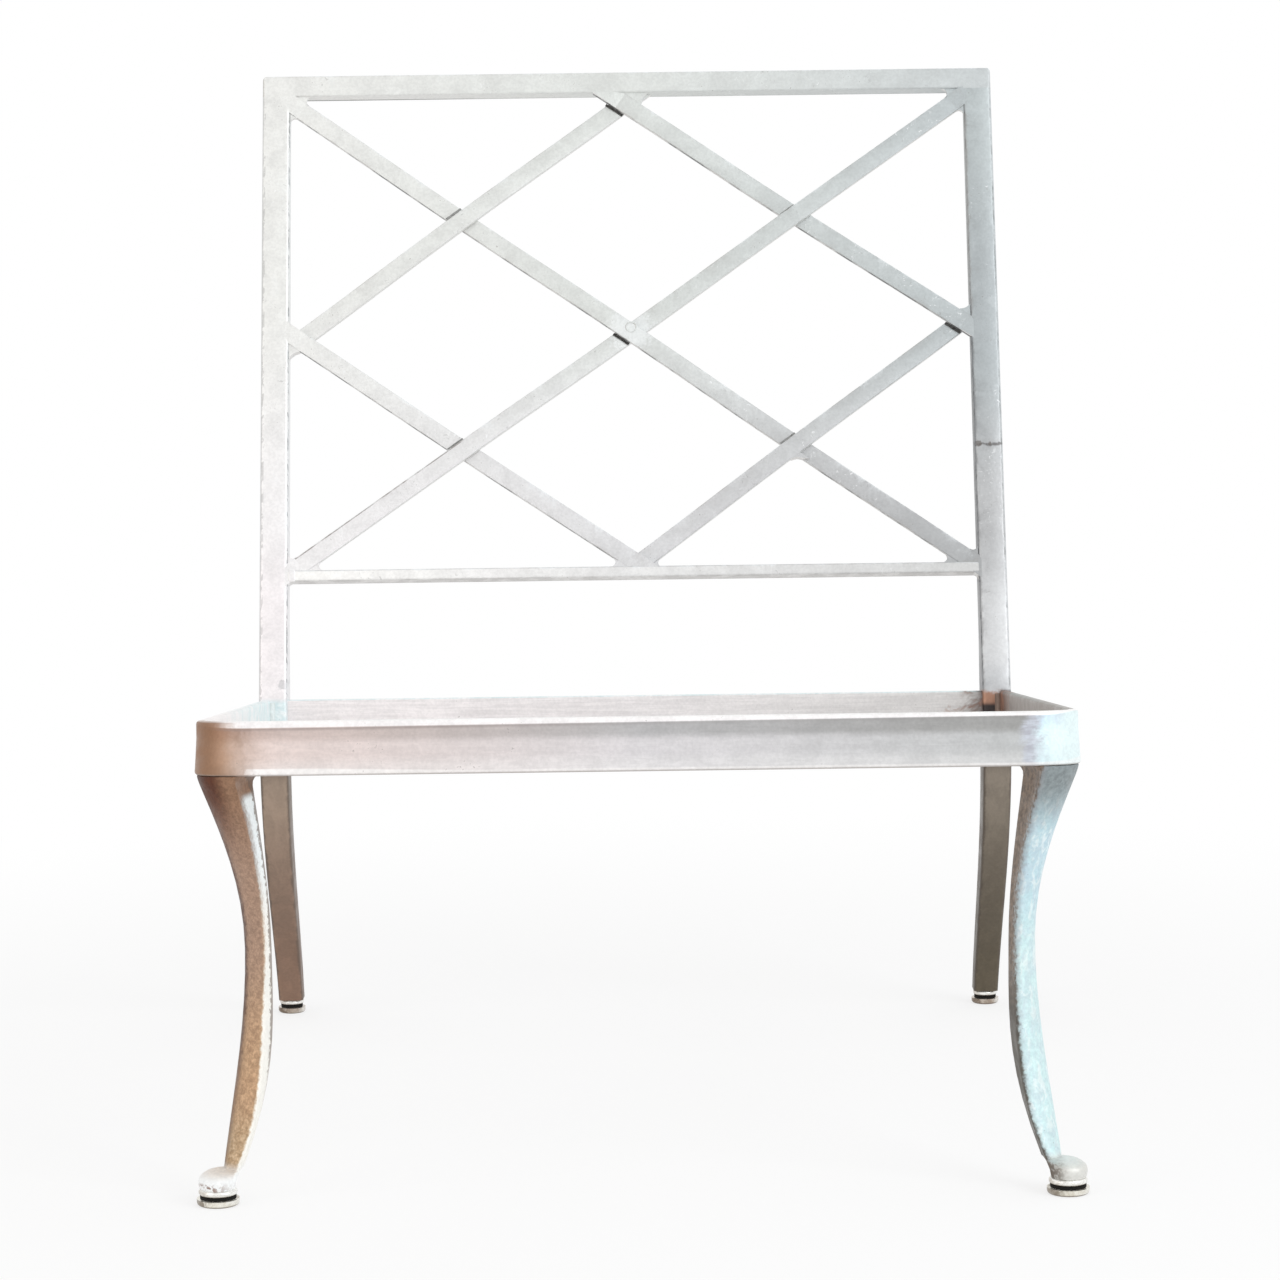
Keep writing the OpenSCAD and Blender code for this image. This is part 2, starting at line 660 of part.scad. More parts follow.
module glide_cup(r) {
    color(nickel_tone) rotate_extrude() difference() {
        union() {
            square([r - cup_bowl_r, cup_h]);
            translate([0, cup_bowl_r]) square([r, cup_h - cup_bowl_r]);
            translate([r - cup_bowl_r, cup_bowl_r]) circle(cup_bowl_r);
        }
        square([screw_r + screw_gap, cup_h]);
        square([screw_head_r + screw_gap, screw_head_h + cup_wall / 2]);
        translate([0, cup_h - cup_recess]) square([cushion_r(r) + cushion_gap, cup_recess]);
    }
}

module glide_cushion(r) {
    inner_r = screw_r + screw_gap;
    color(rubber_tone) translate([0, 0, cup_h - cup_recess]) rotate_extrude()
        translate([inner_r, 0]) square([cushion_r(r) - inner_r, cushion_h]);
}

module glide_washer(r) {
    inner_r = screw_r + screw_gap;
    edge_r = washer_h / 2;
    color(steel_tone) translate([0, 0, glide_h - washer_h]) rotate_extrude() {
        translate([inner_r, 0]) square([washer_r(r) - edge_r - inner_r, washer_h]);
        translate([washer_r(r) - edge_r, edge_r]) circle(edge_r);
    }
}

module glide_screw() {
    color(steel_tone) {
        translate([0, 0, cup_wall / 2]) cylinder(r = screw_head_r, h = screw_head_h);
        cylinder(r = screw_r, h = glide_h + screw_grip);
    }
}

// Each glide stands at the end of its own leg
module at_front(side) translate([side * foot_x, shift_y + foot_y, 0]) children();
module at_rear(side) translate([side * post_x, shift_y + rear_foot_y, 0]) children();

seat_front_rail();
seat_side_rail(left);  // seat_left_rail
seat_side_rail(right);  // seat_right_rail
seat_rear_rail();
back_post(left);  // left_back_post
back_post(right);  // right_back_post
back_top_rail();
back_lower_rail();
long_bar_falling();
long_bar_rising();
short_bar_upper_left();
short_bar_upper_right();
short_bar_lower_left();
short_bar_lower_right();
lattice_welds();
lower_rail_welds();
seat_frame_welds();
front_leg(left);  // front_left_leg
front_leg(right);  // front_right_leg
at_front(left) glide_cup(front_glide_r);  // front_left_cup
at_front(right) glide_cup(front_glide_r);  // front_right_cup
at_rear(left) glide_cup(rear_glide_r);  // rear_left_cup
at_rear(right) glide_cup(rear_glide_r);  // rear_right_cup
at_front(left) glide_cushion(front_glide_r);  // front_left_cushion
at_front(right) glide_cushion(front_glide_r);  // front_right_cushion
at_rear(left) glide_cushion(rear_glide_r);  // rear_left_cushion
at_rear(right) glide_cushion(rear_glide_r);  // rear_right_cushion
at_front(left) glide_washer(front_glide_r);  // front_left_washer
at_front(right) glide_washer(front_glide_r);  // front_right_washer
at_rear(left) glide_washer(rear_glide_r);  // rear_left_washer
at_rear(right) glide_washer(rear_glide_r);  // rear_right_washer
at_front(left) glide_screw();  // front_left_screw
at_front(right) glide_screw();  // front_right_screw
at_rear(left) glide_screw();  // rear_left_screw
at_rear(right) glide_screw();  // rear_right_screw
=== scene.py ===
from math import radians

import bpy
from mathutils import Matrix, Vector


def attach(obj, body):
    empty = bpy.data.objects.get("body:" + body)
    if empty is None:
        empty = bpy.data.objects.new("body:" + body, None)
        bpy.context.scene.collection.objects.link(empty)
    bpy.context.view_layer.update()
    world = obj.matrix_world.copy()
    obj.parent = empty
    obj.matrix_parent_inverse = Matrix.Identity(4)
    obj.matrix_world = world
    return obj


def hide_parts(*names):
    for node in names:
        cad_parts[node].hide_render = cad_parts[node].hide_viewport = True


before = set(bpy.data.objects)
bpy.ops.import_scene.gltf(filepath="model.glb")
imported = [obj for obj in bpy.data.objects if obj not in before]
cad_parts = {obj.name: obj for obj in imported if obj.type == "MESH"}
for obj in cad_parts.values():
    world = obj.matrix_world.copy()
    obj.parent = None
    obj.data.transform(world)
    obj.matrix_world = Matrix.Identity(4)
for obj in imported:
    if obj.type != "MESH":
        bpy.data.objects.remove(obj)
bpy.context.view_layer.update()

# The photograph's view of the chair
PHOTO_PX = 1280
FOCAL_PX = 4109.08
SENSOR = 36
CAMERA_PLACE = Vector((-0.00935, -3.38098, 0.7699))
CAMERA_DOWN = radians(6.649)
CAMERA_RIGHT = radians(0.229)
CAMERA_ROLL = radians(0.728)

# Working tolerances, in metres and radians
MERGE_GAP = 0.000005
SMOOTH_ANGLE = radians(34)

# Kinds of sockets of a node group
VALUE = "NodeSocketFloat"
VECTOR = "NodeSocketVector"
COLOUR = "NodeSocketColor"

# Half the width of the back frame, and the height under which the posts take the rear legs' painted shade
HALF_WIDTH = 0.33
POST_DARK = 0.262

# The leaning back: its foot, its lean, and the sides of its lattice opening along and across it
BACK_FOOT = Vector((0, 0.19194, 0.30457))
BACK_LEAN = radians(19.2)
OPENING_HALF = 0.305
OPENING_LOW = 0.117
OPENING_HIGH = 0.5585
LOWER_RAIL = 0.010

# The bars: their width, and how deep the face of a front bar and of a rear bar lies in the back
BAR_WIDTH = 0.016
OVER_FRONT = 0.002
UNDER_FRONT = 0.007

# Middle lines of the woven bars in the plane of the back, as (across, along)
CORNER_LEFT = Vector((-0.29695, 0.32957))
CORNER_RIGHT = Vector((0.29695, 0.33993))
CORNER_TOP = Vector((-0.00375, 0.54947))
CORNER_LOW = Vector((0.00375, 0.12003))
FALLING = (Vector((-OPENING_HALF, 0.5525)), Vector((OPENING_HALF, 0.114)))
RISING = (Vector((-OPENING_HALF, 0.114)), Vector((OPENING_HALF, 0.5525)))
UPPER_LEFT = (CORNER_LEFT, CORNER_TOP)
UPPER_RIGHT = (CORNER_TOP, CORNER_RIGHT)
LOWER_LEFT = (CORNER_LEFT, CORNER_LOW)
LOWER_RIGHT = (CORNER_LOW, CORNER_RIGHT)

# Weld metal: thickness of a ground patch and of a corner web, and how far a web runs on into its neighbours
PATCH_THICK = 0.0026
WEB_THICK = 0.0085
WEB_ROOT = 0.003

# The ridge of a front leg, as (height, distance from the chair's middle)
LEG_RIDGE = ((0.0125, 0.3055), (0.025, 0.3021), (0.045, 0.2945), (0.07, 0.2881), (0.1, 0.2838),
             (0.13, 0.2818), (0.17, 0.2811), (0.22, 0.2826), (0.25, 0.2859), (0.28, 0.2908),
             (0.3, 0.2948), (0.326, 0.3))

# How far the leg runs on past its ridge, as (height, length)
LEG_INNER = ((0.045, 0.0024), (0.1, 0.0042), (0.19, 0.0043), (0.25, 0.0057), (0.3, 0.0092))

# Colours used more than once, as screen values
PIT = (110, 102, 96)
CLEAR_SILVER = (252, 251, 248)
SHADED_SIDE = (176, 170, 165)

# Share of plain white in the floor near the chair
NEAR_WHITE = 0.7


def paint(red, green, blue):
    """A colour written as screen values from 0 to 255, as the linear colour a shader takes."""
    linear = []
    for value in (red, green, blue):
        share = value / 255
        linear.append(share / 12.92 if share <= 0.04045 else ((share + 0.055) / 1.055) ** 2.4)
    return (*linear, 1)


# Working on pieces

def placed(name, data):
    """A new object in the scene that holds the given mesh, camera or lamp."""
    thing = bpy.data.objects.new(name, data)
    bpy.context.scene.collection.objects.link(thing)
    return thing


def pick(piece):
    bpy.ops.object.select_all(action="DESELECT")
    piece.select_set(True)
    bpy.context.view_layer.objects.active = piece


def open_mesh(piece):
    """Goes to edit mode with the whole mesh selected."""
    pick(piece)
    bpy.ops.object.mode_set(mode="EDIT")
    bpy.ops.mesh.select_all(action="SELECT")


def close_mesh():
    bpy.ops.object.mode_set(mode="OBJECT")


def smooth():
    bpy.ops.object.shade_smooth_by_angle(angle=SMOOTH_ANGLE)


def copy_of(node, name):
    """A merged and smoothed copy of a CAD node's mesh, as an object of its own."""
    piece = placed(name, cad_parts[node].data.copy())
    open_mesh(piece)
    bpy.ops.mesh.customdata_custom_splitnormals_clear()
    bpy.ops.mesh.remove_doubles(threshold=MERGE_GAP)
    bpy.ops.mesh.tris_convert_to_quads(face_threshold=radians(3), shape_threshold=radians(60))
    close_mesh()
    smooth()
    return piece


def move_part(piece, kind, test, way):
    """Moves those faces or vertices of a piece that pass the test."""
    open_mesh(piece)
    bpy.ops.mesh.select_mode(type=kind)
    bpy.ops.mesh.select_all(action="DESELECT")
    close_mesh()
    for part in piece.data.polygons if kind == "FACE" else piece.data.vertices:
        part.select = test(part)
    bpy.ops.object.mode_set(mode="EDIT")
    bpy.ops.transform.translate(value=way)
    close_mesh()


def cut(piece, place, way, away=False):
    """Cuts a piece along a plane. With away, what lies beyond goes and the cut is closed."""
    open_mesh(piece)
    bpy.ops.mesh.bisect(plane_co=place, plane_no=way, use_fill=away, clear_outer=away)
    close_mesh()


def slab(name, size):
    """A block of the given size about the origin, ready to be shaped."""
    bpy.ops.object.select_all(action="DESELECT")
    bpy.ops.mesh.primitive_cube_add(size=1)
    piece = bpy.context.object
    piece.name = name
    piece.scale = size
    bpy.ops.object.transform_apply(location=False, rotation=False, scale=True)
    return piece


def settle(piece, matrix):
    """Puts a piece in its place and writes that place into its mesh."""
    piece.matrix_world = matrix
    pick(piece)
    bpy.ops.object.transform_apply(location=True, rotation=True, scale=True)


def joined(pieces, name):
    pick(pieces[0])
    for piece in pieces[1:]:
        piece.select_set(True)
    bpy.ops.object.join()
    pieces[0].name = name
    return pieces[0]


def roughened(piece, size, depth, cuts):
    """Subdivides a small piece and pushes its skin in unevenly, as weld metal sets."""
    open_mesh(piece)
    bpy.ops.mesh.subdivide(number_cuts=cuts, smoothness=0)
    close_mesh()
    lumps = bpy.data.textures.new(piece.name + "_lumps", "CLOUDS")
    lumps.noise_scale = size
    push = piece.modifiers.new("lumps", "DISPLACE")
    push.texture = lumps
    push.texture_coords = "LOCAL"
    push.strength = depth
    push.mid_level = 1
    bpy.ops.object.modifier_apply(modifier=push.name)
    smooth()


def added(piece, material):
    """A painted piece that stands for no CAD node of its own."""
    piece.data.materials.clear()
    piece.data.materials.append(material)
    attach(piece, "root")
    return piece


def finished(piece, node, material):
    """A painted piece that takes a CAD node's place."""
    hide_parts(node)
    return added(piece, material)


# Laying out shader nodes

def tree_of(*values):
    """The node tree that holds the first socket among the values."""
    return next(value.id_data for value in values if isinstance(value, bpy.types.NodeSocket))


def feed(socket, value):
    """Gives a socket a number, a vector or a colour in screen values, or links another socket to it."""
    if isinstance(value, bpy.types.NodeSocket):
        socket.id_data.links.new(value, socket)
    elif socket.type == "RGBA" and len(value) == 3:
        socket.default_value = paint(*value)
    else:
        socket.default_value = value


def add(tree, kind, given=None, **settings):
    """A node with its settings, and with what its sockets are given."""
    node = tree.nodes.new(kind)
    for key, value in settings.items():
        setattr(node, key, value)
    for key, value in (given or {}).items():
        feed(node.inputs[key], value)
    place = len(tree.nodes)
    node.location = (220 * (place % 8), -280 * (place // 8))
    return node


def reckon(operation, a, b=0):
    return add(tree_of(a, b), "ShaderNodeMath", {0: a, 1: b}, operation=operation).outputs[0]


def times(a, b):
    return reckon("MULTIPLY", a, b)


def plus(a, b):
    return reckon("ADD", a, b)


def minus(a, b):
    return reckon("SUBTRACT", a, b)


def swing(value, width):
    """A value from 0 to 1 made to swing to both sides of zero, over the given width."""
    return times(minus(value, 0.5), width)


def ramp(value, low, high, out_low=0, out_high=1, way="SMOOTHSTEP"):
    """Runs softly from out_low to out_high as the value goes from low to high."""
    given = {"Value": value, "From Min": low, "From Max": high, "To Min": out_low, "To Max": out_high}
    return add(tree_of(value), "ShaderNodeMapRange", given, interpolation_type=way).outputs[0]


def drop(value, low, high):
    """Runs softly from 1 to 0 as the value goes from low to high."""
    return ramp(value, low, high, 1, 0)


def rise(value, low, width):
    """Runs softly from 0 to 1 as the value goes from low to low plus width."""
    return ramp(value, low, plus(low, width))


def blend(share, a, b, way="MIX"):
    """The colour a with the share of the colour b laid over it."""
    given = {0: share, 6: a, 7: b}
    return add(tree_of(share, a, b), "ShaderNodeMix", given, data_type="RGBA", blend_type=way).outputs[2]


def noise(vector, scale, detail=3, roughness=0.55, distortion=0):
    given = {"Vector": vector, "Scale": scale, "Detail": detail, "Roughness": roughness,
             "Distortion": distortion}
    return add(tree_of(vector), "ShaderNodeTexNoise", given).outputs["Fac"]


def object_place(tree, stretch=(1, 1, 1)):
    place = add(tree, "ShaderNodeTexCoord").outputs["Object"]
    return add(tree, "ShaderNodeMapping", {"Vector": place, "Scale": stretch}).outputs["Vector"]


def along_curve(value, points):
    """A smooth curve through (value, result) points, both in metres."""
    low = points[0][0]
    span = points[-1][0] - low
    results = [p[1] for p in points]
    least = min(results)
    rises_by = max(results) - least
    share = ramp(value, low, low + span, way="LINEAR")
    node = add(tree_of(share), "ShaderNodeFloatCurve", {"Value": share})
    curve = node.mapping.curves[0]
    places = [((p[0] - low) / span, (p[1] - least) / rises_by) for p in points]
    curve.points[0].location = places[0]
    curve.points[1].location = places[-1]
    for place in places[1:-1]:
        curve.points.new(*place)
    node.mapping.update()
    return plus(times(node.outputs[0], rises_by), least)


def split(vector):
    return add(tree_of(vector), "ShaderNodeSeparateXYZ", {0: vector}).outputs


def facing(tree):
    """The way a surface looks: how far to the right, away from the eye and up."""
    return split(add(tree, "ShaderNodeNewGeometry").outputs["Normal"])


def new_group(name, inputs, outputs):
    tree = bpy.data.node_groups.new(name, "ShaderNodeTree")
    for title, kind, value in inputs:
        socket = tree.interface.new_socket(name=title, in_out="INPUT", socket_type=kind)
        if value is not None:
            socket.default_value = value
    for title, kind in outputs:
        tree.interface.new_socket(name=title, in_out="OUTPUT", socket_type=kind)
    return tree, add(tree, "NodeGroupInput").outputs, add(tree, "NodeGroupOutput").inputs


def use_group(group, **values):
    given = {title.replace("_", " "): value for title, value in values.items()}
    return add(tree_of(*values.values()), "ShaderNodeGroup", given, node_tree=group).outputs


# Shared effects

def make_cast_skin():
    """The uneven skin of a sand-cast and hand-filed surface: its height, its cloudy patches and its pits."""
    tree, given, result = new_group(
        "cast_skin",
        [("Place", VECTOR, None), ("Grain", VALUE, 900), ("Waves", VALUE, 70)],
        [("Height", VALUE), ("Patches", VALUE), ("Pits", VALUE), ("Speckle", VALUE)])
    place = given["Place"]
    size = given["Waves"]
    fine = times(noise(place, given["Grain"], 4, 0.65), 0.16)
    middle = times(noise(place, times(size, 4), 3, 0.55, 0.2), 0.3)
    waves = noise(place, size, 3, 0.5, 0.3)
    cloudy = noise(place, times(size, 0.55), 6, 0.68, 0.8)
    spots = noise(place, times(given["Grain"], 0.45), 2, 0.5)
    rare = noise(place, times(size, 0.4), 2, 0.5)
    feed(result["Height"], plus(plus(fine, middle), waves))
    feed(result["Patches"], ramp(cloudy, 0.34, 0.66))
    feed(result["Pits"], times(ramp(spots, 0.66, 0.74), ramp(rare, 0.5, 0.66)))
    feed(result["Speckle"], ramp(spots, 0.3, 0.7))
    return tree


def make_side_tone():
    """Painted reflection and shade on a casting by facing: brown where it looks left or down, a painted
    highlight where it looks right or up.
    """
    tree, given, result = new_group(
        "painted_side_light",
        [("Metal", COLOUR, None), ("Brown", COLOUR, None), ("Bright", COLOUR, None), ("Under", COLOUR, None),
         ("Brown Share", VALUE, 0.6), ("Bright Share", VALUE, 0.6), ("Under Share", VALUE, 0.6),
         ("Top Share", VALUE, 0.6), ("Ragged", VALUE, 0.5)],
        [("Color", COLOUR)])
    x, _, z = facing(tree)
    uneven = swing(given["Ragged"], 0.5)
    x = plus(x, uneven)
    left = ramp(times(x, -1), 0.15, 0.8)
    right = ramp(x, 0.2, 0.85)
    down = ramp(times(z, -1), 0.25, 0.8)
    up = ramp(plus(z, uneven), 0.5, 0.9)
    made = given["Metal"]
    for share, part, tone in ((left, "Brown Share", "Brown"), (right, "Bright Share", "Bright"),
                              (down, "Under Share", "Under"), (up, "Top Share", "Bright")):
        made = blend(times(share, given[part]), made, given[tone])
    feed(result["Color"], made)
    return tree


def make_streaks():
    """Long soft streaks that filing and handling leave along a piece."""
    tree, given, result = new_group(
        "file_streaks",
        [("Place", VECTOR, None), ("Along", VECTOR, None), ("Size", VALUE, 120)],
        [("Streaks", VALUE)])
    drawn = add(tree, "ShaderNodeVectorMath", {0: given["Place"], 1: given["Along"]}, operation="MULTIPLY")
    lines = noise(drawn.outputs[0], given["Size"], 3, 0.6, 0.6)
    feed(result["Streaks"], ramp(lines, 0.38, 0.66))
    return tree


def make_chips():
    """Sparse bright nicks and grey scratches, as handling leaves on bare metal."""
    tree, given, result = new_group(
        "handling_chips",
        [("Place", VECTOR, None), ("Color", COLOUR, None)],
        [("Color", COLOUR)])
    nicks = noise(given["Place"], 260, 2, 0.5, 1.2)
    marked = ramp(noise(given["Place"], 18, 2), 0.5, 0.62)
    bright = times(ramp(nicks, 0.66, 0.7), marked)
    dark = times(drop(nicks, 0.3, 0.34), marked)
    made = blend(times(bright, 0.5), given["Color"], (250, 251, 252))
    made = blend(times(dark, 0.35), made, (150, 150, 148))
    feed(result["Color"], made)
    return tree


CAST_SKIN = make_cast_skin()
PAINTED_SIDE_LIGHT = make_side_tone()
FILE_STREAKS = make_streaks()
CHIPS = make_chips()


# Metal finishes

def new_material(name):
    material = bpy.data.materials.new(name)
    material.use_nodes = True
    tree = material.node_tree
    return material, tree, tree.nodes["Principled BSDF"]


def cast_metal(name, grain=900, waves=70, gloss=0.5):
    """A new material with its uneven skin laid out, ready for its colour."""
    material, tree, shader = new_material(name)
    shader.inputs["Specular IOR Level"].default_value = gloss
    place = object_place(tree)
    return material, place, use_group(CAST_SKIN, Place=place, Grain=grain, Waves=waves)


def nicked(place, colour):
    return use_group(CHIPS, Place=place, Color=colour)["Color"]


def filed(place, along, size):
    return use_group(FILE_STREAKS, Place=place, Along=along, Size=size)["Streaks"]


def toned(metal, brown, bright, under, shares, ragged):
    """The painted side light and shade, their shares given as those of the brown, the bright, the underside
    and the top.
    """
    return use_group(PAINTED_SIDE_LIGHT, Metal=metal, Brown=brown, Bright=bright, Under=under,
                     Brown_Share=shares[0], Bright_Share=shares[1], Under_Share=shares[2],
                     Top_Share=shares[3], Ragged=ragged)["Color"]


def mottled(place):
    """The uneven blotches of the front legs, from 0 to 1."""
    return ramp(noise(place, 240, 4, 0.65), 0.32, 0.68)


def greyed(colour, value, low, high):
    """The colour times a grey that runs from low to high as the value goes from 0 to 1."""
    shade = ramp(value, 0, 1, low, high)
    grey = add(tree_of(shade), "ShaderNodeCombineColor", {0: shade, 1: shade, 2: shade})
    return blend(1, colour, grey.outputs[0], "MULTIPLY")


def finish_cast(material, colour, skin, metallic=0.5, rough=(0.36, 0.52), depth=0.0005, strength=0.7,
                cloud=0.94):
    """Ends a cast metal: clouds, speckle and pits in the colour, uneven roughness and the bumpy skin."""
    shader = material.node_tree.nodes["Principled BSDF"]
    colour = greyed(colour, skin["Patches"], cloud, 1.02)
    colour = greyed(colour, skin["Speckle"], 0.955, 1.02)
    colour = blend(times(skin["Pits"], 0.4), colour, PIT)
    given = {"Strength": strength, "Distance": depth, "Height": skin["Height"]}
    bump = add(material.node_tree, "ShaderNodeBump", given)
    feed(shader.inputs["Base Color"], colour)
    feed(shader.inputs["Metallic"], metallic)
    feed(shader.inputs["Roughness"], ramp(skin["Patches"], 0, 1, *rough))
    feed(shader.inputs["Normal"], bump.outputs["Normal"])
    return material


def across(place, *colours):
    """Runs evenly through the colours from the chair's left side to its right side."""
    x = split(place)[0]
    step = 2 * HALF_WIDTH / (len(colours) - 1)
    made = colours[0]
    for k, colour in enumerate(colours[1:]):
        low = -HALF_WIDTH + k * step
        made = blend(ramp(x, low, low + step, way="LINEAR"), made, colour)
    return made


def back_silver(place):
    """The one silver of the whole back, so that its ground joints show no seam, with painted light: palest at
    the left, greyer to the right.
    """
    upper = across(place, (235, 235, 232), (217, 220, 217), (180, 187, 189))
    lower = across(place, (242, 240, 240), (218, 218, 219), (166, 168, 169))
    return blend(ramp(split(place)[2], 0.46, 0.66), lower, upper)


def cleared_silver(place, x_low, x_high, share_low, share_high):
    """The back's silver made clearer, by a share that changes from left to right."""
    share = ramp(split(place)[0], x_low, x_high, share_low, share_high)
    return blend(share, back_silver(place), CLEAR_SILVER)


def back_tone(silver, skin, brown=SHADED_SIDE, under_share=0.85):
    # painted light and shade by facing: grey on sides that look left, bright on sides that look right or up,
    # pale on undersides
    shares = (0.6, 0.45, under_share, 0.6)
    return toned(silver, brown, (236, 241, 243), (232, 230, 228), shares, skin["Patches"])


def reach_in_back(place, way, start=(0, 0, 0)):
    """How far a point lies along a way of the leaning back; way and start are in the back's own lengths."""
    turned = back_matrix().to_3x3() @ Vector(way)
    reach = add(tree_of(place), "ShaderNodeVectorMath", {0: place, 1: turned}, operation="DOT_PRODUCT")
    return minus(reach.outputs["Value"], turned.dot(back_matrix() @ Vector(start)))


def depth_in_back(place):
    return reach_in_back(place, (0, 1, 0))


def front_part(place):
    """1 on the front part of a post and 0 behind it."""
    return drop(depth_in_back(place), 0.015, 0.021)


def rear_line(place):
    """1 along the rear edge of a rail's underside and 0 elsewhere: the mask of a painted shade line."""
    down = drop(facing(tree_of(place))[2], -0.8, -0.6)
    return times(down, ramp(depth_in_back(place), 0.0105, 0.0125))


def drawn_line(place, colour, line, off_middle, width, share, line_colour):
    """A thin broken line in the plane of the back, beside the middle line of a bar or rail."""
    way = way_of(line)
    off = reach_in_back(place, (-way.y, 0, way.x), (line[0].x, 0, line[0].y))
    off = reckon("ABSOLUTE", minus(off, off_middle))
    broken = ramp(noise(place, 60, 4, 0.62), 0.38, 0.56, 0.2, 1)
    shown = times(ramp(off, width * 0.4, width, share, 0), broken)
    x = split(place)[0]
    shown = times(shown, ramp(x, line[0].x, line[0].x + 0.004))
    shown = times(shown, drop(x, line[1].x - 0.004, line[1].x))
    return blend(shown, colour, line_colour)


def side_lines(place, colour):
    """Broken dark lines of painted shade on the sides of the bars that look down to the left."""
    x, _, z = facing(tree_of(place))
    side = times(drop(x, -0.5, -0.35), drop(z, -0.6, -0.45))
    broken = ramp(noise(place, 42, 4, 0.62), 0.4, 0.62, 0.1, 0.9)
    return blend(times(side, broken), colour, (92, 94, 96))


def spot(place, x, z, size, edge):
    """An irregular spot about a point of the chair's front."""
    here_x, _, here_z = split(place)
    wide = minus(here_x, x)
    high = minus(here_z, z)
    near = reckon("SQRT", plus(times(wide, wide), times(high, high)))
    torn = swing(noise(place, 420, 3, 0.6), edge)
    return drop(plus(near, torn), size * 0.6, size)


def dark_edge_lines(place, colour, x, width, share):
    """Dark broken lines along a post's front edge that stands at x."""
    front = ramp(depth_in_back(place), 0.002, 0.004, share, 0)
    away = reckon("ABSOLUTE", minus(split(place)[0], x))
    broken = times(ramp(filed(place, (1, 1, 0.25), 240), 0.5, 0.7), front)
    line = times(drop(away, width * 0.4, width), broken)
    return blend(line, colour, (118, 120, 120))


def rough_line(place, colour, height, width, wander_by, share, line_colour):
    """An irregular line round a post at the given height."""
    wander = swing(noise(place, 190, 4, 0.65), wander_by)
    distance = reckon("ABSOLUTE", minus(plus(split(place)[2], wander), height))
    broken = ramp(noise(place, 330, 2), 0.3, 0.6, 0.35, 1)
    line = times(ramp(distance, width * 0.3, width, share, 0), broken)
    return blend(line, colour, line_colour)


def run_into_leg(place, skin, tone, leg_high, leg_low):
    """Ends a post's colour: taupe painted shade and reflection on the rear leg, with painted shadow deeper
    close under the seat.
    """
    z = split(place)[2]
    taupe = blend(ramp(z, 0.04, 0.26), leg_low, leg_high)
    taupe = greyed(taupe, filed(place, (1, 1, 0.3), 90), 0.93, 1.05)
    # painted shadow: darker close under the seat
    taupe = greyed(taupe, drop(z, 0.226, 0.242), 0.78, 1)
    leg = toned(taupe, (74, 64, 56), (96, 86, 78), (70, 62, 54), (0.75, 0.7, 0.5, 0.3), skin["Patches"])
    return blend(drop(z, POST_DARK, POST_DARK + 0.02), tone, leg)


def left_post_metal():
    """The left post: nearly white, dark broken lines along its inner edge, a painted bluish reflection at the
    front of its foot, and painted shade where it runs on as a leg.
    """
    material, place, skin = cast_metal("left_post_metal")
    z = split(place)[2]
    silver = blend(ramp(z, 0.38, 0.47), (244, 239, 240), back_silver(place))
    silver = dark_edge_lines(place, silver, -OPENING_HALF, 0.0017, 0.85)
    silver = dark_edge_lines(place, silver, -HALF_WIDTH + 0.002, 0.0014, 0.35)
    nick = times(spot(place, -0.309, 0.3175, 0.0055, 0.009), 0.5)
    silver = blend(nick, nicked(place, silver), (176, 176, 178))
    # painted reflection: bluish white on the front of the post's foot
    foot = times(ramp(z, 0.3, 0.307, 0.9, 0), front_part(place))
    pale_foot = blend(skin["Patches"], (206, 232, 236), (244, 250, 250))
    tone = back_tone(blend(foot, silver, pale_foot), skin, (196, 196, 196))
    tone = run_into_leg(place, skin, tone, (160, 142, 126), (159, 127, 107))
    return finish_cast(material, tone, skin, cloud=0.965)


def right_post_silver(place, z):
    """The right post's own silver by height, greyer than the left post's as painted light, its dark broken
    edge lines and the ragged splice.
    """
    low_silver = blend(ramp(z, 0.312, 0.335), (200, 202, 204), (209, 210, 211))
    silver = blend(ramp(z, 0.66, 0.82), (173, 179, 181), (184, 191, 192))
    silver = blend(ramp(z, 0.46, 0.6), (187, 188, 189), silver)
    silver = blend(ramp(z, 0.37, 0.43), low_silver, silver)
    silver = dark_edge_lines(place, silver, OPENING_HALF, 0.0014, 0.8)
    silver = dark_edge_lines(place, silver, HALF_WIDTH - 0.0012, 0.0012, 0.5)
    silver = rough_line(place, silver, 0.5161, 0.0017, 0.006, 0.85, (92, 90, 90))
    silver = rough_line(place, silver, 0.5152, 0.007, 0.004, 0.12, (150, 144, 140))
    blob = reckon("MAXIMUM", spot(place, 0.3085, 0.5168, 0.0034, 0.004),
                  spot(place, 0.3185, 0.5166, 0.002, 0.003))
    return blend(times(blob, 0.8), silver, (110, 104, 100))


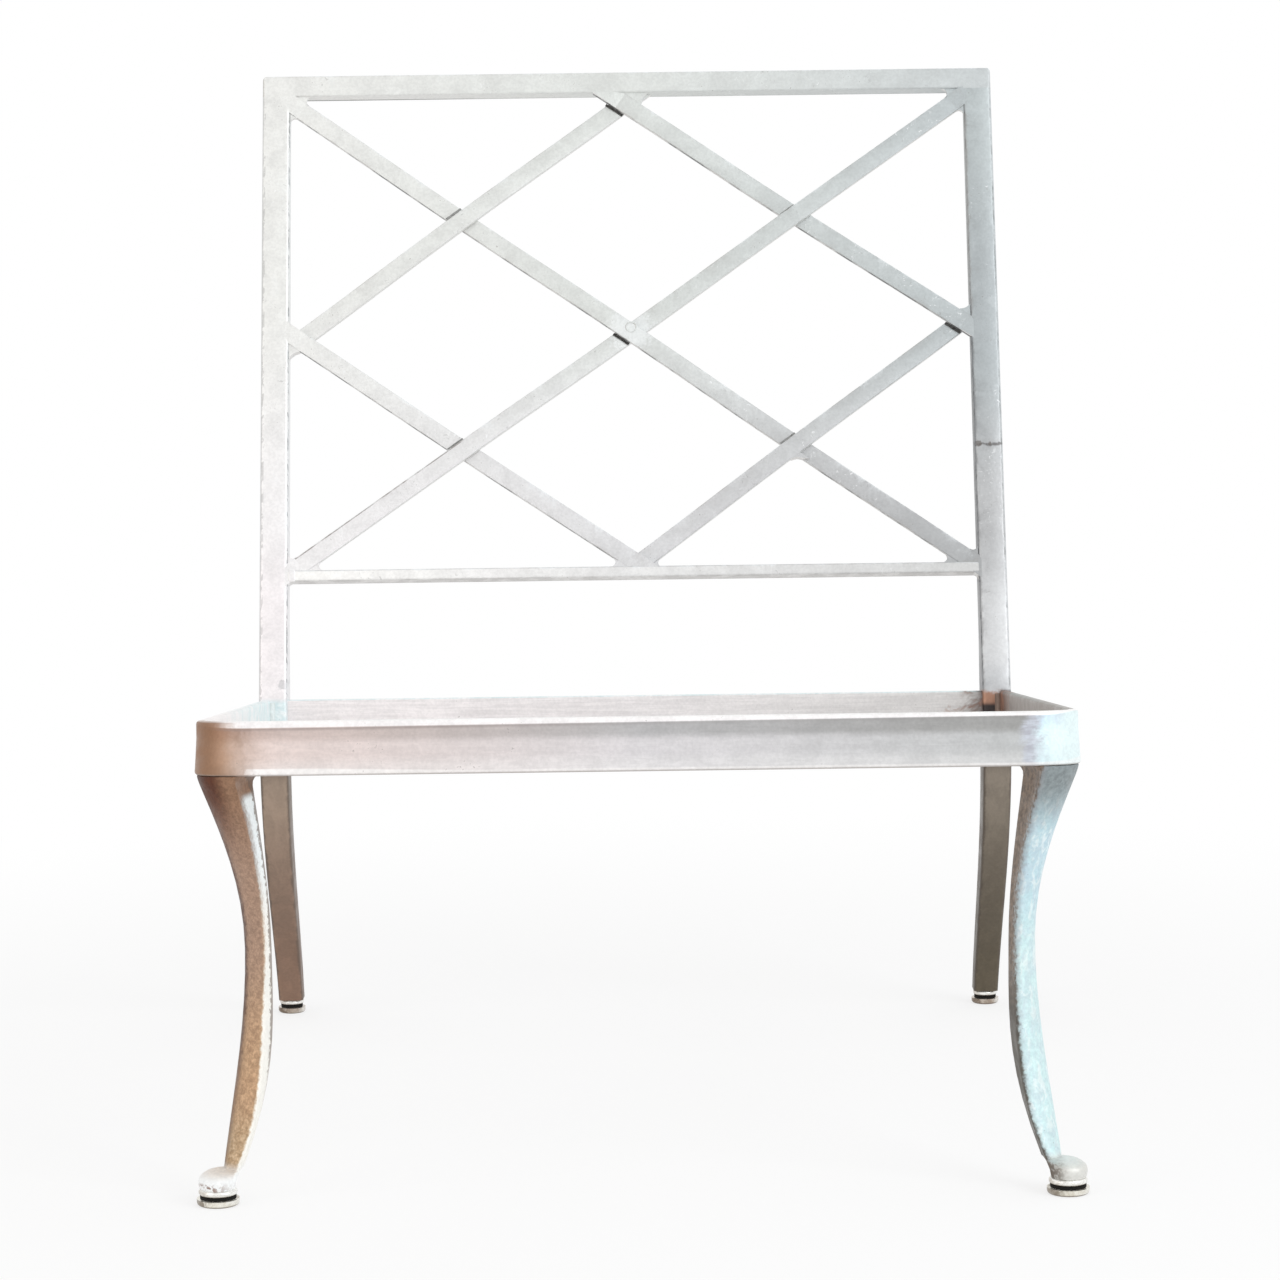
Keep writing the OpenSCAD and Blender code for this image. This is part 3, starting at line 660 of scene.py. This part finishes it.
def right_post_metal():
    """The right post: greyer, with a ragged splice across it and burnt metal at its foot."""
    material, place, skin = cast_metal("right_post_metal")
    x, _, z = split(place)
    # painted shade: the inner side, which looks left, dark below the top part
    inner = blend(ramp(z, 0.61, 0.66), (92, 92, 95), (146, 143, 141))
    tone = back_tone(nicked(place, right_post_silver(place, z)), skin, inner)
    brown_dark_patch = blend(ramp(x, 0.314, 0.326), (172, 128, 104), (46, 26, 20))
    brown_dark_patch = blend(ramp(z, 0.291, 0.2955), (38, 24, 20), brown_dark_patch)
    burnt = ramp(plus(z, times(skin["Patches"], 0.004)), 0.3035, 0.3075, 0.95, 0)
    tone = blend(times(burnt, front_part(place)), tone, brown_dark_patch)
    tone = run_into_leg(place, skin, tone, (138, 128, 116), (106, 96, 79))
    return finish_cast(material, tone, skin, cloud=0.965)


def top_rail_metal():
    """The top rail: one silver over its face and underside, a painted shade line along the underside's rear
    edge.
    """
    material, place, skin = cast_metal("top_rail_metal")
    x = split(place)[0]
    silver = nicked(place, cleared_silver(place, -0.15, 0.25, 0.04, 0.17))
    tone = back_tone(silver, skin, under_share=ramp(x, -0.3, 0.1, 0.5, 0.05))
    # painted shade: a dark line along the underside's rear edge, strongest at the left
    line = times(rear_line(place), ramp(x, -0.24, -0.05, 0.85, 0.12))
    return finish_cast(material, blend(line, tone, (96, 96, 94)), skin, cloud=0.965)


def lower_rail_metal():
    """The lower rail: clear silver, thinly outlined, with painted shade along the underside's rear edge."""
    material, place, skin = cast_metal("lower_rail_metal")
    silver = cleared_silver(place, -0.33, 0, 0.8, 0.35)
    tone = back_tone(nicked(place, silver), skin)
    for level in (OPENING_LOW - 0.0005, OPENING_LOW - LOWER_RAIL + 0.0003):
        edge = (Vector((-OPENING_HALF, level)), Vector((OPENING_HALF, level)))
        tone = drawn_line(place, tone, edge, 0, 0.0008, 0.3, (140, 136, 132))
    # painted shade along the underside's rear edge
    tone = blend(times(rear_line(place), 0.5), tone, (132, 128, 124))
    return finish_cast(material, tone, skin, cloud=0.965)


def lattice_metal():
    """The bars: rubbed pale about the middle crossing, painted shade lines along their lower sides."""
    material, place, skin = cast_metal("lattice_metal")
    middle = back_matrix() @ Vector((0, 0, where(FALLING, RISING).y))
    rubbed = times(spot(place, middle.x, middle.z, 0.024, 0.03), 0.45)
    silver = nicked(place, back_silver(place))
    silver = blend(rubbed, silver, (246, 249, 250))
    outer_part = (RISING[0], where(RISING, LOWER_LEFT))
    silver = drawn_line(place, silver, outer_part, BAR_WIDTH / 2 - 0.0007, 0.001, 0.75, (128, 118, 112))
    tone = side_lines(place, back_tone(silver, skin))
    return finish_cast(material, tone, skin, cloud=0.965)


def apron_bands(place, x, z):
    """Painted light and reflection: a darker band over a lighter one, a brown reflection at the left corner,
    lilac and a cool reflection at the right.
    """
    streaks = filed(place, (0.12, 1, 1), 260)
    upper = across(place, (218, 197, 189), (186, 185, 186), (157, 157, 155))
    lower = across(place, (234, 215, 208), (221, 218, 220), (190, 193, 193))
    lower = blend(ramp(z, 0.329, 0.34, 0.3, 0), lower, (250, 249, 248))
    plain = greyed(blend(ramp(z, 0.3465, 0.353), lower, upper), streaks, 0.97, 1.02)
    # painted reflection: brown at the left corner
    brown = blend(ramp(z, 0.345, 0.357), (176, 141, 114), (150, 112, 86))
    plain = blend(ramp(x, -0.319, -0.259, 0.96, 0), plain, brown)
    lilac = blend(streaks, (184, 186, 196), (208, 214, 224))
    plain = blend(ramp(x, 0.281, 0.289, 0, 0.9), plain, lilac)
    # painted reflection: cool bluish white at the right corner
    cool_reflection = blend(ramp(z, 0.347, 0.358), (228, 250, 253), (204, 225, 238))
    cool_reflection = blend(ramp(x, 0.308, 0.322), cool_reflection, (217, 248, 251))
    return blend(ramp(x, 0.29, 0.304), plain, cool_reflection)


def apron_edges(place, x, z, plain):
    """The painted highlight on the upper edge over its painted shadow line, and the painted highlight on the
    lower edge that thins out to the right.
    """
    lean = minus(z, times(split(place)[0], 0.0035))
    shadow = times(ramp(lean, 0.3572, 0.3594), drop(lean, 0.3594, 0.3604))
    shadow = times(shadow, ramp(x, -0.2, 0.1, 0.5, 0.12))
    plain = blend(shadow, plain, (140, 126, 124))
    glint = ramp(lean, 0.3598, 0.3608, 0, 0.95)
    glint = times(glint, ramp(x, -0.314, -0.288, 0.15, 1))
    plain = blend(glint, plain, (254, 251, 251))
    thick = ramp(x, -0.27, -0.1, 0.3302, 0.3276)
    edge = ramp(z, minus(thick, 0.0012), thick, 0.95, 0)
    edge = times(edge, ramp(x, -0.292, -0.278))
    edge = times(edge, ramp(x, -0.24, -0.1, 1, 0.6))
    return blend(edge, plain, (254, 251, 249))


def apron_metal():
    """The front rail: its two painted bands, its painted highlights on the edges and its top painted light.
    """
    material, place, skin = cast_metal("apron_metal")
    x, _, z = split(place)
    x = plus(x, swing(skin["Patches"], 0.008))
    plain = apron_edges(place, x, z, apron_bands(place, x, z))
    tone = toned(plain, (142, 104, 76), (246, 252, 252), (140, 128, 120), (0.85, 0.6, 0.6, 0), 0.5)
    # painted highlight: the top face, which looks up, near white
    lit_top = ramp(facing(tree_of(place))[2], 0.6, 0.9)
    lit_top = times(lit_top, ramp(x, -0.318, -0.29, 0.3, 1))
    return finish_cast(material, blend(lit_top, tone, (252, 251, 250)), skin, cloud=0.955)


def seat_rail_metal():
    """Side and rear rails: drawn lines, bright at the left as painted light, and painted reflection and
    shade, brown and near black, at the right rear corner.
    """
    material, place, skin = cast_metal("seat_rail_metal")
    x, y, _ = split(place)
    plain = across(place, (246, 240, 240), (230, 226, 226), (210, 208, 206))
    plain = greyed(plain, filed(place, (0.05, 0.05, 1), 380), 0.94, 1.03)
    # painted reflection: pale bluish white on sides that look right
    pale_reflection = blend(skin["Patches"], (228, 249, 251), (252, 255, 255))
    lit = blend(ramp(y, -0.3, 0.1), (252, 247, 246), pale_reflection)
    shares = (0.95, ramp(x, -0.2, 0.2, 1, 0.2), 0.7, 0.85)
    tone = toned(plain, (148, 140, 134), lit, (140, 126, 116), shares, 0.5)
    # darker on the top face of the right rail
    darker_top = times(ramp(facing(tree_of(place))[2], 0.4, 0.7), ramp(x, 0.296, 0.312, 0, 0.8))
    tone = blend(darker_top, tone, (136, 132, 124))
    wander = swing(skin["Patches"], 0.03)
    # painted reflection and shade: brown and near black at the right rear corner
    corner = times(ramp(plus(x, wander), 0.272, 0.3), ramp(plus(y, wander), 0.09, 0.17))
    brown_dark_patch = blend(skin["Patches"], (46, 28, 22), (160, 112, 88))
    tone = blend(times(corner, 0.85), tone, brown_dark_patch)
    return finish_cast(material, tone, skin, cloud=0.97)


def past_ridge(place, ragged):
    """How far a point of a front leg lies past the leg's ridge towards the chair's middle, in metres."""
    x, _, z = split(place)
    past = minus(along_curve(z, LEG_RIDGE), reckon("ABSOLUTE", x))
    return plus(past, swing(noise(place, 300, 4, 0.6), ragged))


def foot_reflection(place, colour, x_low, x_high, top, even, reflection_colour):
    """Painted brown reflection and shade low on a pad foot, on the side between x_low and x_high."""
    x, _, z = split(place)
    patchy = ramp(noise(place, 300, 3, 0.6), 0.46, 0.56, even, 1)
    low = times(drop(z, top - 0.006, top), patchy)
    return blend(times(low, ramp(x, x_low, x_high, 0.9, 0.1)), colour, reflection_colour)


def left_leg_reflection(place, z, past):
    """Brown painted reflection, paler and tan towards the foot, darker near the top, with a painted shade
    line down the outer side.
    """
    mottle = mottled(place)
    top = blend(ramp(past, -0.018, -0.003), (94, 52, 33), (152, 118, 94))
    high = blend(ramp(z, 0.24, 0.315), (175, 145, 125), top)
    low = blend(mottle, (189, 153, 121), (202, 167, 133))
    foot = blend(mottle, (186, 155, 120), (204, 178, 147))
    plain = blend(drop(z, 0.1, 0.2), high, low)
    plain = blend(drop(z, 0.04, 0.08), plain, foot)
    plain = greyed(plain, mottle, 0.85, 1.06)
    speckle = ramp(noise(place, 620, 3, 0.6), 0.36, 0.64)
    plain = greyed(plain, speckle, 0.88, 1.08)
    outward = plus(times(facing(tree_of(place))[0], -1), swing(mottle, 0.12))
    # painted shade: a dark line where the leg turns away to the left
    outline = times(ramp(outward, 0.74, 0.95), ramp(z, 0.05, 0.16, 0.6, 0.9))
    return blend(outline, plain, (74, 44, 31))


def left_leg_strip(z, past, plain):
    """The painted highlight past the ridge: soft where it starts, with a painted shade rim where it ends."""
    near = blend(ramp(z, 0.2, 0.27), (226, 204, 176), (150, 150, 148))
    bright = blend(ramp(z, 0.2, 0.26), (255, 253, 246), (248, 254, 255))
    starts = plus(ramp(z, 0.12, 0.2, -0.0026, 0.0002), ramp(z, 0.24, 0.3, 0, 0.0014))
    soft = ramp(z, 0.18, 0.28, 0.0018, 0.0034)
    open_top = drop(z, 0.302, 0.309)
    edge = times(rise(past, minus(starts, 0.0008), soft), open_top)
    plain = blend(times(edge, 0.7), plain, near)
    plain = blend(times(rise(past, starts, soft), open_top), plain, bright)
    last = minus(past, along_curve(z, LEG_INNER))
    rim = times(ramp(last, -0.0013, -0.0007), ramp(z, 0.05, 0.12, 0, 0.75))
    return blend(rim, plain, (112, 92, 78))


def left_leg_metal():
    """The left front leg: brown painted reflection, a painted highlight past its ridge, a white pad foot."""
    material, place, skin = cast_metal("left_leg_metal", waves=110, gloss=0.2)
    z = split(place)[2]
    past = past_ridge(place, 0.004)
    plain = left_leg_strip(z, past, left_leg_reflection(place, z, past))
    plain = blend(drop(z, 0.019, 0.031), plain, (253, 255, 255))
    plain = foot_reflection(place, plain, -0.324, -0.304, 0.0205, 0, (134, 96, 78))
    return finish_cast(material, plain, skin, ramp(z, 0.02, 0.035, 0, 0.25), cloud=0.98)


def right_leg_reflection(place, z, mottle):
    """Pale painted reflection with lilac streaks and worn patches, painted shadow grey close under the rail.
    """
    cool = blend(mottle, (192, 222, 231), (206, 232, 239))
    clear = blend(mottle, (206, 234, 236), (220, 246, 246))
    pale = blend(drop(z, 0.17, 0.24), cool, clear)
    lilac = filed(place, (1, 1, 0.5), 150)
    pale = blend(times(lilac, 0.22), pale, (196, 192, 212))
    worn = noise(object_place(tree_of(place), (1, 1, 0.55)), 120, 4, 0.62, 0.6)
    pale = blend(times(ramp(worn, 0.5, 0.62), 0.55), pale, (244, 252, 251))
    # painted shadow: grey close under the rail
    under = blend(mottle, (128, 136, 138), (150, 160, 162))
    return blend(ramp(z, 0.262, 0.312), pale, under)


def right_leg_metal():
    """The right front leg: pale painted reflection, painted dark brown shade past its ridge, a grey pad foot.
    """
    material, place, skin = cast_metal("right_leg_metal", waves=110)
    z = split(place)[2]
    past = past_ridge(place, 0.0065)
    mottle = mottled(place)
    plain = right_leg_reflection(place, z, mottle)
    plain = blend(drop(z, 0.02, 0.032), plain, (232, 232, 227))
    # painted shade: grey where the leg turns at its ridge
    plain = blend(ramp(past, -0.0045, 0.0005, 0, 0.55), plain, (150, 152, 156))
    # painted shade and reflection: dark brown past the ridge
    dark = blend(mottle, (92, 76, 62), (136, 116, 98))
    dark = blend(ramp(z, 0.12, 0.18, 0.8, 0), dark, (70, 68, 60))
    begins = ramp(z, 0.11, 0.2, -0.002, -0.0002)
    plain = blend(times(rise(past, begins, 0.0028), 0.97), plain, dark)
    plain = foot_reflection(place, plain, 0.307, 0.318, 0.028, 0.6, (112, 102, 92))
    return finish_cast(material, plain, skin, 0.4, cloud=0.97)


def weld_metal():
    material, place, skin = cast_metal("weld_metal", 1300, 200)
    tone = back_tone(back_silver(place), skin)
    return finish_cast(material, tone, skin, strength=0.6, cloud=0.97)


def seat_weld_metal():
    material, place, skin = cast_metal("seat_weld_metal", 1300, 200)
    plain = across(place, (232, 240, 240), (210, 206, 202), (120, 100, 88))
    return finish_cast(material, plain, skin, strength=0.8)


def slit_shadow_metal(name, dark, light):
    """Dark strips standing for the shadow in the slits where one bar was welded over another."""
    material, _, skin = cast_metal(name, 1500, 420)
    colour = blend(skin["Patches"], dark, light)
    return finish_cast(material, colour, skin, 0.15, (0.6, 0.85), 0.0008, 0.9)


def cup_metal(name, dull, clear):
    """Worn plated steel: light, glossy, with brown painted reflection and shade on its sides that look left
    or down.
    """
    material, _, skin = cast_metal(name, 1500, 160)
    plain = blend(skin["Patches"], dull, clear)
    tone = toned(plain, (96, 78, 60), (244, 244, 240), (116, 102, 86), (0.7, 0.6, 0.9, 0.2),
                 skin["Patches"])
    return finish_cast(material, tone, skin, 0.8, (0.18, 0.34), 0.0002, 0.4)


def washer_metal():
    material, _, skin = cast_metal("washer_metal", 1500, 200)
    plain = blend(skin["Patches"], (236, 234, 228), (250, 249, 245))
    # painted light and shade by facing: brown to the left, dark underneath, bright on top and to the right
    tone = toned(plain, (186, 174, 160), (250, 250, 247), (120, 110, 98), (0.5, 0.5, 0.9, 0.5),
                 skin["Patches"])
    return finish_cast(material, tone, skin, 0.7, (0.22, 0.38), 0.0002, 0.4)


def black_rubber():
    material, _, skin = cast_metal("black_rubber", 1600, 300, 0.25)
    colour = blend(skin["Patches"], (12, 10, 8), (26, 23, 20))
    return finish_cast(material, colour, skin, 0, (0.7, 0.9), 0.0003, 0.5)


# Places on the leaning back

def back_matrix():
    return Matrix.Translation(BACK_FOOT) @ Matrix.Rotation(-BACK_LEAN, 4, "X")


def on_back(point, depth, angle):
    """Matrix that puts a piece at a point of the leaning back, turned in its plane by the angle."""
    local = Matrix.Translation(Vector((point.x, depth, point.y))) @ Matrix.Rotation(-angle, 4, "Y")
    return back_matrix() @ local


def flat(point):
    """A point or way of the back's plane as a vector in space, before the back leans."""
    return Vector((point.x, 0, point.y))


def way_of(line):
    return (line[1] - line[0]).normalized()


def angle_of(way):
    return -Vector((1, 0)).angle_signed(way)


def left_of(line, distance):
    """The line moved to its left in the plane of the back."""
    way = way_of(line)
    shift = Vector((-way.y, way.x)) * distance
    return (line[0] + shift, line[1] + shift)


def where(a, b):
    """The point at which two of the bars' middle lines cross."""
    u = way_of(a)
    v = way_of(b)
    gap = b[0] - a[0]
    return a[0] + u * ((gap.x * v.y - gap.y * v.x) / (u.x * v.y - u.y * v.x))


def side_end(line, side):
    """Where a bar's middle line meets the post of that side."""
    way = way_of(line)
    return line[0] + way * ((side * OPENING_HALF - line[0].x) / way.x)


def rail_end(line, level):
    """Where a bar's middle line meets the top rail or the lower one."""
    way = way_of(line)
    return line[0] + way * ((level - line[0].y) / way.y)


# The chair's pieces

def cast_piece(node, material):
    return finished(copy_of(node, node + "_cast"), node, material)


def patch_blank():
    """Weld metal ground flush: level with the frame at one end, running down to a bar's face at the other."""
    patch = slab("joint_patch", (0.026, PATCH_THICK, BAR_WIDTH - 0.0003))
    cut(patch, (0.001, 0, 0), (1, 0, 0))
    move_part(patch, "VERT", lambda vertex: vertex.co.x > 0.01 and vertex.co.y < 0, (0, 0.0019, 0))
    return patch


def joint_patches(material):
    """The ground patches where the bars that lie in front run into the frame."""
    blank = patch_blank()
    upper = way_of(UPPER_RIGHT)
    lower = way_of(LOWER_LEFT)
    ends = [(FALLING[0], way_of(FALLING)), (FALLING[1], -way_of(FALLING)),
            (RISING[0], way_of(RISING)), (RISING[1], -way_of(RISING)),
            (side_end(UPPER_RIGHT, 1), -upper), (side_end(LOWER_LEFT, -1), lower),
            (rail_end(UPPER_RIGHT, OPENING_HIGH), upper), (rail_end(LOWER_LEFT, OPENING_LOW), -lower)]
    patches = []
    for k, (point, way) in enumerate(ends):
        patch = placed("joint_patch_%d" % k, blank.data.copy())
        settle(patch, on_back(point, 0.0001 + PATCH_THICK / 2, angle_of(way)))
        patches.append(patch)
    bpy.data.objects.remove(blank)
    below = back_matrix() @ Vector((0, 0, OPENING_LOW - LOWER_RAIL + 0.0012))
    cut(patches[-1], below, back_matrix().to_3x3() @ Vector((0, 0, -1)), away=True)
    whole = joined(patches, "ground_joint_patches")
    smooth()
    return added(whole, material)


def corner_web(name, corner, along_frame, along_bar, frame_length, bar_length):
    """Weld metal that fills the corner of the frame and a bar, hollow-sided, flush with the bar."""
    side = 1 if along_frame.x * along_bar.y > along_frame.y * along_bar.x else -1
    to_frame = Vector((along_frame.y, 0, -along_frame.x)) * side
    to_bar = Vector((-along_bar.y, 0, along_bar.x)) * side
    frame_end = flat(along_frame) * frame_length
    slope = flat(along_bar) * bar_length - frame_end
    way = slope.normalized()
    outward = Vector((way.z, 0, -way.x))
    if outward.dot(frame_end) < 0:
        outward = -outward
    web = slab(name, (0.08, WEB_THICK, 0.08))
    cut(web, to_frame * WEB_ROOT, to_frame, away=True)
    cut(web, to_bar * WEB_ROOT, to_bar, away=True)
    cut(web, frame_end, outward, away=True)
    for share in (0.12, 0.3, 0.5, 0.7, 0.88):
        cut(web, frame_end + slope * share, way)
    for low, high, depth in ((0.06, 0.2, 0.06), (0.2, 0.4, 0.12), (0.4, 0.6, 0.15), (0.6, 0.8, 0.12),
                             (0.8, 0.94, 0.06)):
        def on_slope(vertex):
            off = vertex.co - frame_end
            return abs(outward.dot(off)) < 0.0002 and low < way.dot(off) / slope.length < high
        move_part(web, "VERT", on_slope, outward * (-depth * slope.length))
    settle(web, on_back(corner, OVER_FRONT + 0.00025 + WEB_THICK / 2, 0))
    return web


def corner_webs(material):
    """Corners filled with weld metal: four at the frame, one under the lower right crossing."""
    half = BAR_WIDTH / 2
    upper = way_of(UPPER_RIGHT)
    lower = way_of(LOWER_LEFT)
    up_line = left_of(UPPER_RIGHT, half)
    low_line = left_of(LOWER_LEFT, -half)
    crossing = where(left_of(FALLING, -half), left_of(LOWER_RIGHT, -half))
    east = Vector((1, 0))
    north = Vector((0, 1))
    webs = [corner_web("web_top", rail_end(up_line, OPENING_HIGH), east, upper, 0.022, 0.019),
            corner_web("web_right", side_end(up_line, 1), north, -upper, 0.011, 0.012),
            corner_web("web_left", side_end(low_line, -1), -north, lower, 0.0135, 0.012),
            corner_web("web_low", rail_end(low_line, OPENING_LOW), -east, -lower, 0.0095, 0.0095),
            corner_web("web_crossing", crossing, way_of(FALLING), -way_of(LOWER_RIGHT), 0.007, 0.007)]
    whole = joined(webs, "corner_webs")
    smooth()
    return added(whole, material)


def slit_shadow_strip(name, point, way, length, width):
    strip = slab(name, (length, 0.0018, width))
    settle(strip, on_back(point, UNDER_FRONT - 0.0003, angle_of(way)))
    return strip


def slit_shadow_beside(name, front, behind, width, reach=1):
    """A dark strip of painted shadow on a bar that lies behind, along the left edge of the bar that crosses
    it.
    """
    along = way_of(front)
    under = way_of(behind)
    turn = abs(along.x * under.y - along.y * under.x)
    point = where(front, behind) - under * ((BAR_WIDTH / 2 + width / 2) / turn)
    return slit_shadow_strip(name, point, along, BAR_WIDTH / turn * reach, width)


def crossing_slit_shadows(black, grey):
    """Painted shadow in the slit on the left of each crossing, along the bar that lies in front."""
    blacks = [slit_shadow_beside("shadow_top", UPPER_RIGHT, UPPER_LEFT, 0.0026, 1.12),
              slit_shadow_beside("shadow_middle", FALLING, RISING, 0.0028, 1.02),
              slit_shadow_beside("shadow_right", UPPER_RIGHT, LOWER_RIGHT, 0.0028)]
    top = where(UPPER_RIGHT, UPPER_LEFT) + Vector((-0.0165, 0.0045))
    blacks.append(slit_shadow_strip("shadow_to_rail", top, Vector((0.45, -0.89)).normalized(), 0.009, 0.0011))
    greys = [slit_shadow_beside("grey_shadow_upper_left", UPPER_LEFT, FALLING, 0.0034),
             slit_shadow_beside("grey_shadow_upper_right", RISING, UPPER_RIGHT, 0.0018, 0.9),
             slit_shadow_beside("grey_shadow_lower_left", RISING, LOWER_LEFT, 0.0026),
             slit_shadow_beside("grey_shadow_lower_right", LOWER_RIGHT, FALLING, 0.0026)]
    for strips, name, material in ((blacks, "crossing_slit_shadow", black), (greys, "crossing_grey_shadow", grey)):
        whole = joined(strips, name)
        roughened(whole, 0.0025, 0.0008, 5)
        added(whole, material)


def centre_ring(material):
    """The round spot weld where the two long bars cross in the middle."""
    bpy.ops.object.select_all(action="DESELECT")
    bpy.ops.mesh.primitive_torus_add(major_radius=0.0046, minor_radius=0.0009, major_segments=32,
                                     minor_segments=10)
    ring = bpy.context.object
    ring.name = "centre_spot_weld"
    point = where(FALLING, RISING) + Vector((0.001, 0.004))
    local = Matrix.Translation(Vector((point.x, OVER_FRONT + 0.0002, point.y)))
    settle(ring, back_matrix() @ local @ Matrix.Rotation(radians(90), 4, "X"))
    roughened(ring, 0.003, 0.0003, 1)
    return added(ring, material)


def lower_rail_block(material):
    """The square tack of weld metal at the lower rail's left end."""
    block = slab("lower_rail_tack", (0.006, 0.004, 0.0112))
    edge = block.modifiers.new("round_edges", "BEVEL")
    edge.width = 0.0009
    edge.segments = 2
    pick(block)
    bpy.ops.object.modifier_apply(modifier=edge.name)
    settle(block, on_back(Vector((-OPENING_HALF + 0.0036, 0.1118)), 0.0012, 0))
    roughened(block, 0.004, 0.0003, 2)
    return added(block, material)


def flush_welds(node, material):
    """Weld fillets, their front faces brought forward to the face of the bars beside them."""
    front = back_matrix().to_3x3() @ Vector((0, -1, 0))
    piece = copy_of(node, node + "_cast")
    move_part(piece, "FACE", lambda face: face.normal.dot(front) > 0.9, front * 0.001)
    return finished(piece, node, material)


def dress_back():
    cast_piece("left_back_post", left_post_metal())
    cast_piece("right_back_post", right_post_metal())
    cast_piece("back_top_rail", top_rail_metal())
    cast_piece("back_lower_rail", lower_rail_metal())
    bars = lattice_metal()
    for node in ("long_bar_falling", "long_bar_rising", "short_bar_upper_left", "short_bar_upper_right",
                 "short_bar_lower_left", "short_bar_lower_right"):
        cast_piece(node, bars)


def dress_seat():
    cast_piece("seat_front_rail", apron_metal())
    rails = seat_rail_metal()
    for node in ("seat_left_rail", "seat_right_rail", "seat_rear_rail"):
        cast_piece(node, rails)


def dress_legs():
    cast_piece("front_left_leg", left_leg_metal())
    cast_piece("front_right_leg", right_leg_metal())


def dress_welds():
    metal = weld_metal()
    flush_welds("lattice_welds", metal)
    cast_piece("lower_rail_welds", metal)
    cast_piece("seat_frame_welds", seat_weld_metal())
    joint_patches(metal)
    corner_webs(metal)
    centre_ring(metal)
    lower_rail_block(metal)
    crossing_slit_shadows(slit_shadow_metal("black_slit_shadow", (40, 38, 36), (96, 94, 92)),
                    slit_shadow_metal("grey_slit_shadow", (132, 132, 130), (176, 177, 176)))


def dress_glides():
    cups = {"front": cup_metal("cup_metal", (222, 216, 200), (246, 243, 234)),
            "rear": cup_metal("rear_cup_metal", (168, 152, 138), (214, 204, 192))}
    washer = washer_metal()
    rubber = black_rubber()
    for end in ("front_left", "front_right", "rear_left", "rear_right"):
        for part, made, slot, material in (("_cup", "_turned", "glide_cup", cups[end.split("_")[0]]),
                                           ("_washer", "_turned", "glide_steel", washer),
                                           ("_cushion", "_moulded", "glide_rubber", rubber)):
            node = end + part
            finished(copy_of(node, node + made), node, material)
        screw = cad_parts[end + "_screw"]
        screw.data.materials.clear()
        screw.data.materials.append(washer)


# The stage

def set_camera():
    data = bpy.data.cameras.new("camera")
    data.sensor_width = SENSOR
    data.lens = SENSOR * FOCAL_PX / PHOTO_PX
    data.clip_start = 0.1
    data.clip_end = 60
    camera = placed("camera", data)
    turn = (Matrix.Rotation(-CAMERA_RIGHT, 4, "Z") @ Matrix.Rotation(radians(90) - CAMERA_DOWN, 4, "X")
            @ Matrix.Rotation(-CAMERA_ROLL, 4, "Z"))
    camera.matrix_world = Matrix.Translation(CAMERA_PLACE) @ turn
    bpy.context.scene.camera = camera


def seen_rays(tree):
    """1 where the eye, or gloss, looks straight at the surface, and 0 where it only gives light."""
    rays = add(tree, "ShaderNodeLightPath").outputs
    seen = reckon("MAXIMUM", rays["Is Camera Ray"], rays["Is Glossy Ray"])
    return reckon("MAXIMUM", seen, rays["Is Transmission Ray"])


def floor_paint():
    """Matt white that runs out into plain white far from the chair, so that no horizon shows."""
    material, tree, shader = new_material("floor_paint")
    shader.inputs["Roughness"].default_value = 0.9
    place = object_place(tree)
    matt = blend(noise(place, 3, 2), (0.94, 0.94, 0.94, 1), (0.96, 0.96, 0.96, 1))
    feed(shader.inputs["Base Color"], matt)
    length = add(tree, "ShaderNodeVectorMath", {0: place}, operation="LENGTH").outputs["Value"]
    plain = plus(times(ramp(length, 0.5, 1.5), 1 - NEAR_WHITE), NEAR_WHITE)
    white = add(tree, "ShaderNodeEmission").outputs[0]
    share = times(plain, seen_rays(tree))
    mix = add(tree, "ShaderNodeMixShader", {0: share, 1: shader.outputs[0], 2: white})
    feed(tree.nodes["Material Output"].inputs["Surface"], mix.outputs[0])
    return material


def lay_floor():
    bpy.ops.object.select_all(action="DESELECT")
    bpy.ops.mesh.primitive_plane_add(size=30, location=(0, 0, 0))
    floor = bpy.context.object
    floor.name = "floor"
    floor.data.materials.append(floor_paint())


def soft_world():
    world = bpy.data.worlds.new("world")
    bpy.context.scene.world = world
    world.use_nodes = True
    tree = world.node_tree
    background = tree.nodes["Background"]
    background.inputs["Color"].default_value = (1, 1, 1, 1)
    feed(background.inputs["Strength"], ramp(seen_rays(tree), 0, 1, 0.78, 1))


def soft_lamp(name, place, aim, size, power, colour):
    data = bpy.data.lights.new(name, "AREA")
    data.shape = "SQUARE"
    data.size = size
    data.energy = power
    data.color = colour
    lamp = placed(name, data)
    lamp.location = place
    lamp.rotation_euler = (Vector(aim) - Vector(place)).to_track_quat("-Z", "Y").to_euler()


def light_studio():
    soft_world()
    soft_lamp("key_lamp", (2.4, -2.2, 2.3), (0, 0, 0.45), 1.8, 34, (0.96, 0.98, 1))
    soft_lamp("fill_lamp", (-2.6, -1.8, 1.4), (0, 0, 0.45), 1.8, 12, (1, 0.95, 0.9))


set_camera()
lay_floor()
light_studio()
dress_back()
dress_seat()
dress_legs()
dress_welds()
dress_glides()
bpy.context.scene.view_settings.view_transform = "Standard"
